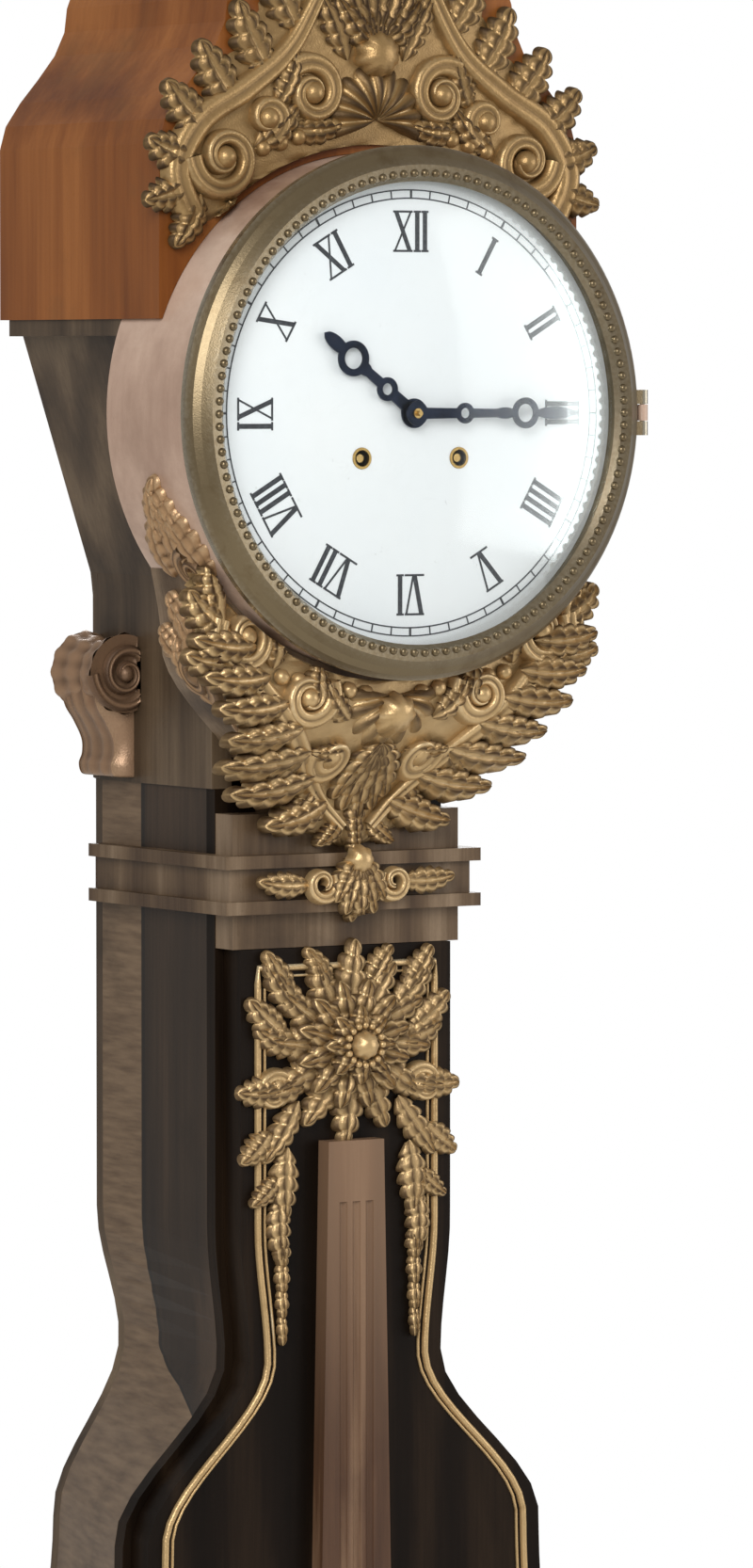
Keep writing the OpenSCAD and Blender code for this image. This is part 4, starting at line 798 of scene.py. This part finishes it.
def makeRosette():
    c = Casting(onDoor)
    z = clock["rosetteZ"]
    c.wreath((0, z), radius=0.014, count=12, longs=(0.044 * 1.12,) + (0.044,) * 5, wide=0.024, rise=0.008,
             lift=0.001, lobes=5, bend=10)
    c.wreath((0, z), radius=0.010, count=12, longs=(0.030,), wide=0.018, rise=0.010, lift=0.006, start=15)
    c.wreath((0, z), radius=0.004, count=8, longs=(0.020,), wide=0.015, rise=0.010, lift=0.013)
    c.dome((0, z), radius=0.009, rise=0.010, lift=0.020, ribs=8, deep=0.06)
    c.beads((0, z), radius=0.0125, count=16, size=0.0022, rise=0.0022, lift=0.022)
    for side in (-1, 1):
        c.leaves(rosetteLook["foliage"], rise=0.007, lift=0.001, side=side, up=z)
        c.scroll((0.054, z - 0.028), outer=0.012, inner=0.003, start=300, turns=1.3, way=1,
                 wide=(0.005, 0.002), rise=0.006, lift=0.001, side=side)
        for i in range(4):
            stalk = (side * 0.048, z - 0.116 - 0.016 * i)
            c.leaf(stalk, turn=180, long=0.020, wide=0.013 - 0.002 * i, rise=0.006, lobes=3, lift=0.001)
    piece = c.cast("rosette_foliage", "gilt", "door")
    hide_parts("rosette_mount")


# console leaf on the neck's front, between the apron and the door

neckLook = {"z": 1.518, "moulding": 1.482, "swellFrom": 1.470}


def makeNeckLeaf():
    def onNeck(x, z, h):
        # stands out over the moulding
        swell = 0.0052 + 0.0050 * ease(min(1, max(0, (z - neckLook["swellFrom"]) / 0.014)))
        return x, clock["doorY"] - (stand(h, swell) if z > neckLook["moulding"] else stand(h)), z
    c = Casting(onNeck)
    c.fan((0, neckLook["z"]), (140, 160, 180, 200, 220), middle=180, long=0.040, less=0.0002, wide=0.018,
          rise=0.008, lean=0.4, lift=0.003)
    for side in (-1, 1):
        c.scroll((0.026, 1.502), outer=0.012, inner=0.003, start=300, turns=1.3, way=-1,
                 wide=(0.005, 0.002), rise=0.006, lift=0.002, side=side)
        c.leaves([((0.034, 1.502), 96, 0.036, 0.018, -20)], rise=0.006, lift=0.001, side=side)
    c.dome((0, 1.516), radius=0.009, rise=0.010, lift=0.004, ribs=8, deep=0.08)
    c.cast("neck_leaf", "gilt", "case")


# spray under the window

sprayLook = {
    "below": 0.104 + 0.018,
    "turns": (120, 140, 160, 180, 200, 220, 240),
    # stalks from the spray's root
    "leaves": [((0.060, -0.030), 110, 0.040, 0.020, -30), ((0.056, -0.046), 140, 0.044, 0.020, -30),
               ((0.052, -0.010), 80, 0.036, 0.020, -30)],
}


def makeDoorSpray():
    c = Casting(onDoor)
    z = clock["bobZ"] - sprayLook["below"]
    c.fan((0, z), sprayLook["turns"], middle=180, long=0.070, less=0.0001, wide=0.024, rise=0.009, lean=0.3,
          lift=0.002, lobes=7)
    for side in (-1, 1):
        c.scroll((0.044, z - 0.026), outer=0.022, inner=0.004, start=300, turns=1.5, way=-1,
                 wide=(0.007, 0.003), rise=0.009, lift=0.003, side=side, boss=(0.007, 0.008, 0.005))
        c.leaves(sprayLook["leaves"], rise=0.008, lift=0.002, side=side, up=z)
    c.shell((0, z + 0.002), turn=180, radius=0.024, rise=0.013, ribs=9, spread=240)
    c.dome((0, z), radius=0.012, rise=0.014, lift=0.004, ribs=8, deep=0.1)
    piece = c.cast("window_spray", "gilt", "door")
    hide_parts("door_mounts")


# beads round the window and the dial: radius, count, size, rise, lift

beadLook = {"window": (0.0975, 72, 0.0034, 0.0034, 0.0075), "bezel": (0.1447, 120, 0.0026, 0.0024, 0.0162)}


def makeBeads():
    c = Casting(onDoor)
    c.beads((0, clock["bobZ"]), *beadLook["window"])
    c.cast("window_beads", "gilt", "door")

    def onBezel(x, z, h):
        return x, clock["faceY"] - 0.0004 - h, clock["dialZ"] + z
    b = Casting(onBezel)
    b.beads((0, 0), *beadLook["bezel"])
    b.cast("bezel_beads", "bezel", "bezel", "bezel_brass")


# sunburst on the bob

burstLook = {
    "ball": 0.2963,  # radius of the curve of the bob's face
    # radius and half width; further out the lens is thinner than the rod, and the rings would cut it
    "rings": ((0.022, 0.0016), (0.0725, 0.0016), (0.0778, 0.0026)),
}


def makeSunburst():
    face = min(v.co.y for v in nodes["bob"].data.vertices)
    ball = burstLook["ball"]

    def onBob(x, z, h):
        sag = ball - math.sqrt(ball ** 2 - x * x - z * z)
        return x, face + sag - stand(h), clock["bobZ"] + z
    c = Casting(onBob)
    c.wreath((0, 0), radius=0.020, count=24, longs=(0.052, 0.040), wide=0.010, rise=0.003, lift=0.0005,
             lobes=1)
    c.wreath((0, 0), radius=0, count=10, longs=(0.020,), wide=0.013, rise=0.004, lift=0.0015)
    for radius, wide in burstLook["rings"]:
        around = [2 * math.pi * i / 96 for i in range(97)]
        ring = [(radius * math.sin(turn), radius * math.cos(turn)) for turn in around]
        c.band(ring, taper(wide, wide), wide, 0.0)
    c.dome((0, 0), radius=0.006, rise=0.006, lift=0.004)
    c.cast("bob_sunburst", "wheel", "bob", "brass")


# gilt lines on the door and base, and the base's cartouche

lineLook = {
    # inset and half width of each line, and how far its path keeps off the front's edge
    "door": ((0.012, 0.0022), (0.017, 0.0009)), "doorLow": 0.596, "doorGap": 0.006, "doorRise": 1.1,
    "base": ((0.026, 0.004), (0.034, 0.0014)), "baseRise": 0.9, "cartoucheZ": 0.350,
}


def lineLoop(low, high, inset, gap, count):
    # follows the front's outline, inside its edge
    zs = [low + inset + (high - low - 2 * inset) * i / count for i in range(count + 1)]
    right = [(frontHalf(z) - gap - inset, z) for z in zs]
    return right + [(-x, z) for x, z in reversed(right)] + [right[0]]


def makeLines():
    c = Casting(onDoor)
    for inset, wide in lineLook["door"]:
        loop = lineLoop(lineLook["doorLow"], clock["doorTopZ"], inset, lineLook["doorGap"], 90)
        c.band(loop, taper(wide, wide), wide * lineLook["doorRise"], 0.0)
    c.cast("door_lines", "gilt", "door")

    def onBase(x, z, h):
        return x, baseFront(z) - stand(h), z
    b = Casting(onBase)
    for inset, wide in lineLook["base"]:
        loop = lineLoop(clock["plinthTopZ"], clock["baseTopZ"], inset, 0.0, 50)
        b.band(loop, taper(wide, wide), wide * lineLook["baseRise"], 0.0)
    z = lineLook["cartoucheZ"]
    b.wreath((0, z), radius=0, count=8, longs=(0.085, 0.060), wide=0.030, rise=0.008, lift=0.001, lobes=5)
    for side in (-1, 1):
        b.scroll((0.062, z), outer=0.026, inner=0.005, start=0, turns=1.5, way=1, wide=(0.006, 0.003),
                 rise=0.007, side=side)
        b.leaves([((0.070, 0.340), 90, 0.050, 0.024, 30), ((0.070, 0.362), 80, 0.046, 0.022, -40)],
                 rise=0.007, side=side)
    b.dome((0, z), radius=0.020, rise=0.014, lift=0.002, ribs=8, deep=0.08)
    b.cast("base_cartouche", "gilt", "case")


# sabots on the base's corners

sabotLook = {
    "low": 0.097, "tall": 0.116, "rise": 0.004, "leafRise": 0.007,
    "leaves": [((-0.012, 0.100), 0, 0.105, 0.034, 0), ((-0.030, 0.100), -14, 0.070, 0.028, 0),
               ((-0.046, 0.100), -24, 0.044, 0.022, 0), ((0.014, 0.100), 4, 0.080, 0.030, 0),
               ((0.034, 0.100), 16, 0.052, 0.024, 0)],
}


def makeFootMounts():
    look = sabotLook
    for side, word in ((-1, "left"), (1, "right")):
        def corner(a, z, h, side=side):
            # a runs from the front face round the corner to the side
            half, front = frontHalf(z), baseFront(z)
            if a <= 0:
                return side * (half + a), front - stand(h), z
            return side * (half + stand(h)), front + a, z
        c = Casting(corner)
        rows = []
        for i in range(31):
            t = i / 30
            wide = 0.058 * (1 - t) ** 0.8 + 0.008
            across = [2 * k / 20 - 1 for k in range(21)]
            rows.append([(wide * v, look["low"] + look["tall"] * t,
                          look["rise"] * (1 - abs(v) ** 4) if abs(v) < 1 else 0) for v in across])
        c.net(rows)
        c.leaves(look["leaves"], rise=look["leafRise"], lift=0.002, lobes=7)
        piece = c.cast("corner_sabot_" + word, "gilt", "case")
        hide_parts("foot_mounts")


# urn finial with a flame

finialLook = {
    # height over the hood and radius
    "outline": [(0.000, 0.034), (0.006, 0.034), (0.009, 0.030), (0.012, 0.020), (0.020, 0.013),
                (0.028, 0.012), (0.034, 0.020), (0.042, 0.030), (0.052, 0.035), (0.064, 0.036),
                (0.072, 0.032), (0.078, 0.022), (0.083, 0.016), (0.087, 0.018), (0.092, 0.023),
                (0.097, 0.018), (0.104, 0.016), (0.112, 0.019), (0.120, 0.019), (0.130, 0.014),
                (0.140, 0.008), (0.150, 0.0008)],
    "flameFrom": 0.096, "urn": (0.034, 0.066),
}


def makeFinial():
    centre = (clock["boardY"] + clock["hoodY"]) / 2
    flame, (urnLow, urnHigh) = finialLook["flameFrom"], finialLook["urn"]
    rows, turns = [], 96
    for rise, radius in smoothPath(finialLook["outline"], 5):
        ring = []
        for k in range(turns + 1):
            turn = 2 * math.pi * k / turns
            if rise > flame:
                wave = 1 + 0.16 * math.cos(5 * turn + (rise - flame) * 90)
            elif urnLow < rise < urnHigh:
                wave = 1 + 0.035 * abs(math.cos(8 * turn))
            else:
                wave = 1
            ring.append((radius * wave * math.cos(turn), centre + radius * wave * math.sin(turn),
                         clock["hoodTopZ"] + rise))
        rows.append(ring)
    c = Casting(lambda a, b, h: (a, b, h))
    c.net(rows)
    piece = c.cast("flame_finial", "gilt", "case")
    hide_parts("finial")


makeCrest()
makeApron()
makeSideMounts()
makeEarScrolls()
makeRosette()
makeNeckLeaf()
makeDoorSpray()
makeBeads()
makeSunburst()
makeLines()
makeFootMounts()
makeFinial()
print("mounts cast")


# floor, light and camera

studio = {"floor": ink(238, 238, 235), "floorPale": ink(244, 244, 242), "reach": 5.0, "fade": (2.2, 4.6),
          "sky": (1.0, 0.98, 0.95, 1), "world": 0.5,
          # power, size and place of each lamp, and what they all face
          "lamps": {"key": (110, (1.6, 2.2), (-2.4, -2.6, 3.1)), "fill": (40, (2.0, 2.4), (2.8, -2.2, 2.0)),
                    "rim": (40, (1.4, 2.0), (1.6, 2.6, 2.8))},
          "aim": (0, 0, 1.5),
          "target": (-0.0174, -0.084, 1.565), "azimuth": -32, "elevation": 3, "distance": 4.8, "lens": 181.4}


def makeFloor():
    s = Sheet("pale_floor")
    spot = s.add("ShaderNodeTexCoord", out="Object")
    away = s.add("ShaderNodeVectorMath", {"operation": "LENGTH"}, {0: spot}, out=1)
    cloud = s.noise(s.place(), 3.0)
    colour = s.mix(cloud, studio["floor"], studio["floorPale"])
    matt = s.add("ShaderNodeBsdfPrincipled", {}, {"Base Color": colour, "Roughness": 0.7 + cloud * 0.1})
    clear = s.add("ShaderNodeBsdfTransparent", {}, {"Color": (1, 1, 1, 1)})
    s.finish(s.add("ShaderNodeMixShader", {}, {0: s.span(away, *studio["fade"]), 1: matt, 2: clear}))
    mesh = bpy.data.meshes.new("floor")
    reach = studio["reach"]
    corners = [(-reach, -reach, 0), (reach, -reach, 0), (reach, reach, 0), (-reach, reach, 0)]
    mesh.from_pydata(corners, [], [(0, 1, 2, 3)])
    mesh.materials.append(s.owner)
    floor = bpy.data.objects.new("floor", mesh)
    floor.location = (0, 0, -0.0005)
    bpy.context.scene.collection.objects.link(floor)


def makeLamp(name, power, size, place):
    lamp = bpy.data.lights.new(name, "AREA")
    lamp.energy, lamp.shape, lamp.size, lamp.size_y = power, "RECTANGLE", size[0], size[1]
    rig = bpy.data.objects.new(name, lamp)
    rig.location = place
    rig.rotation_euler = (Vector(studio["aim"]) - Vector(place)).to_track_quat("-Z", "Y").to_euler()
    bpy.context.scene.collection.objects.link(rig)


def makeWorld():
    # white where the camera sees it, also through the glass, but a dimmer and warmer light
    s = Sheet("studio", bpy.data.worlds)
    looked = s.add("ShaderNodeLightPath", out="Is Camera Ray")
    through = s.add("ShaderNodeLightPath", out="Is Transmission Ray")
    seen = s.add("ShaderNodeMath", {"operation": "MAXIMUM"}, {0: looked, 1: through})
    dim = s.add("ShaderNodeBackground", {}, {"Color": studio["sky"], "Strength": studio["world"]})
    bright = s.add("ShaderNodeBackground", {}, {"Color": (1, 1, 1, 1), "Strength": 1.0})
    mixer = s.add("ShaderNodeMixShader", {}, {0: seen, 1: dim, 2: bright})
    bpy.context.scene.world = s.finish(mixer, "ShaderNodeOutputWorld")


def makeCamera():
    lens = bpy.data.cameras.new("photo_camera")
    lens.lens, lens.sensor_width, lens.clip_end = studio["lens"], 36, 100
    camera = bpy.data.objects.new("photo_camera", lens)
    turn, tip = math.radians(studio["azimuth"]), math.radians(studio["elevation"])
    back = Vector((math.sin(turn) * math.cos(tip), -math.cos(turn) * math.cos(tip), math.sin(tip)))
    camera.location = Vector(studio["target"]) + back * studio["distance"]
    camera.rotation_euler = (-back).to_track_quat("-Z", "Y").to_euler()
    bpy.context.scene.collection.objects.link(camera)
    bpy.context.scene.camera = camera


makeFloor()
for name, (power, size, place) in studio["lamps"].items():
    makeLamp(name, power, size, place)
makeWorld()
makeCamera()
bpy.context.scene.view_settings.view_transform = "Standard"
print("studio ready")
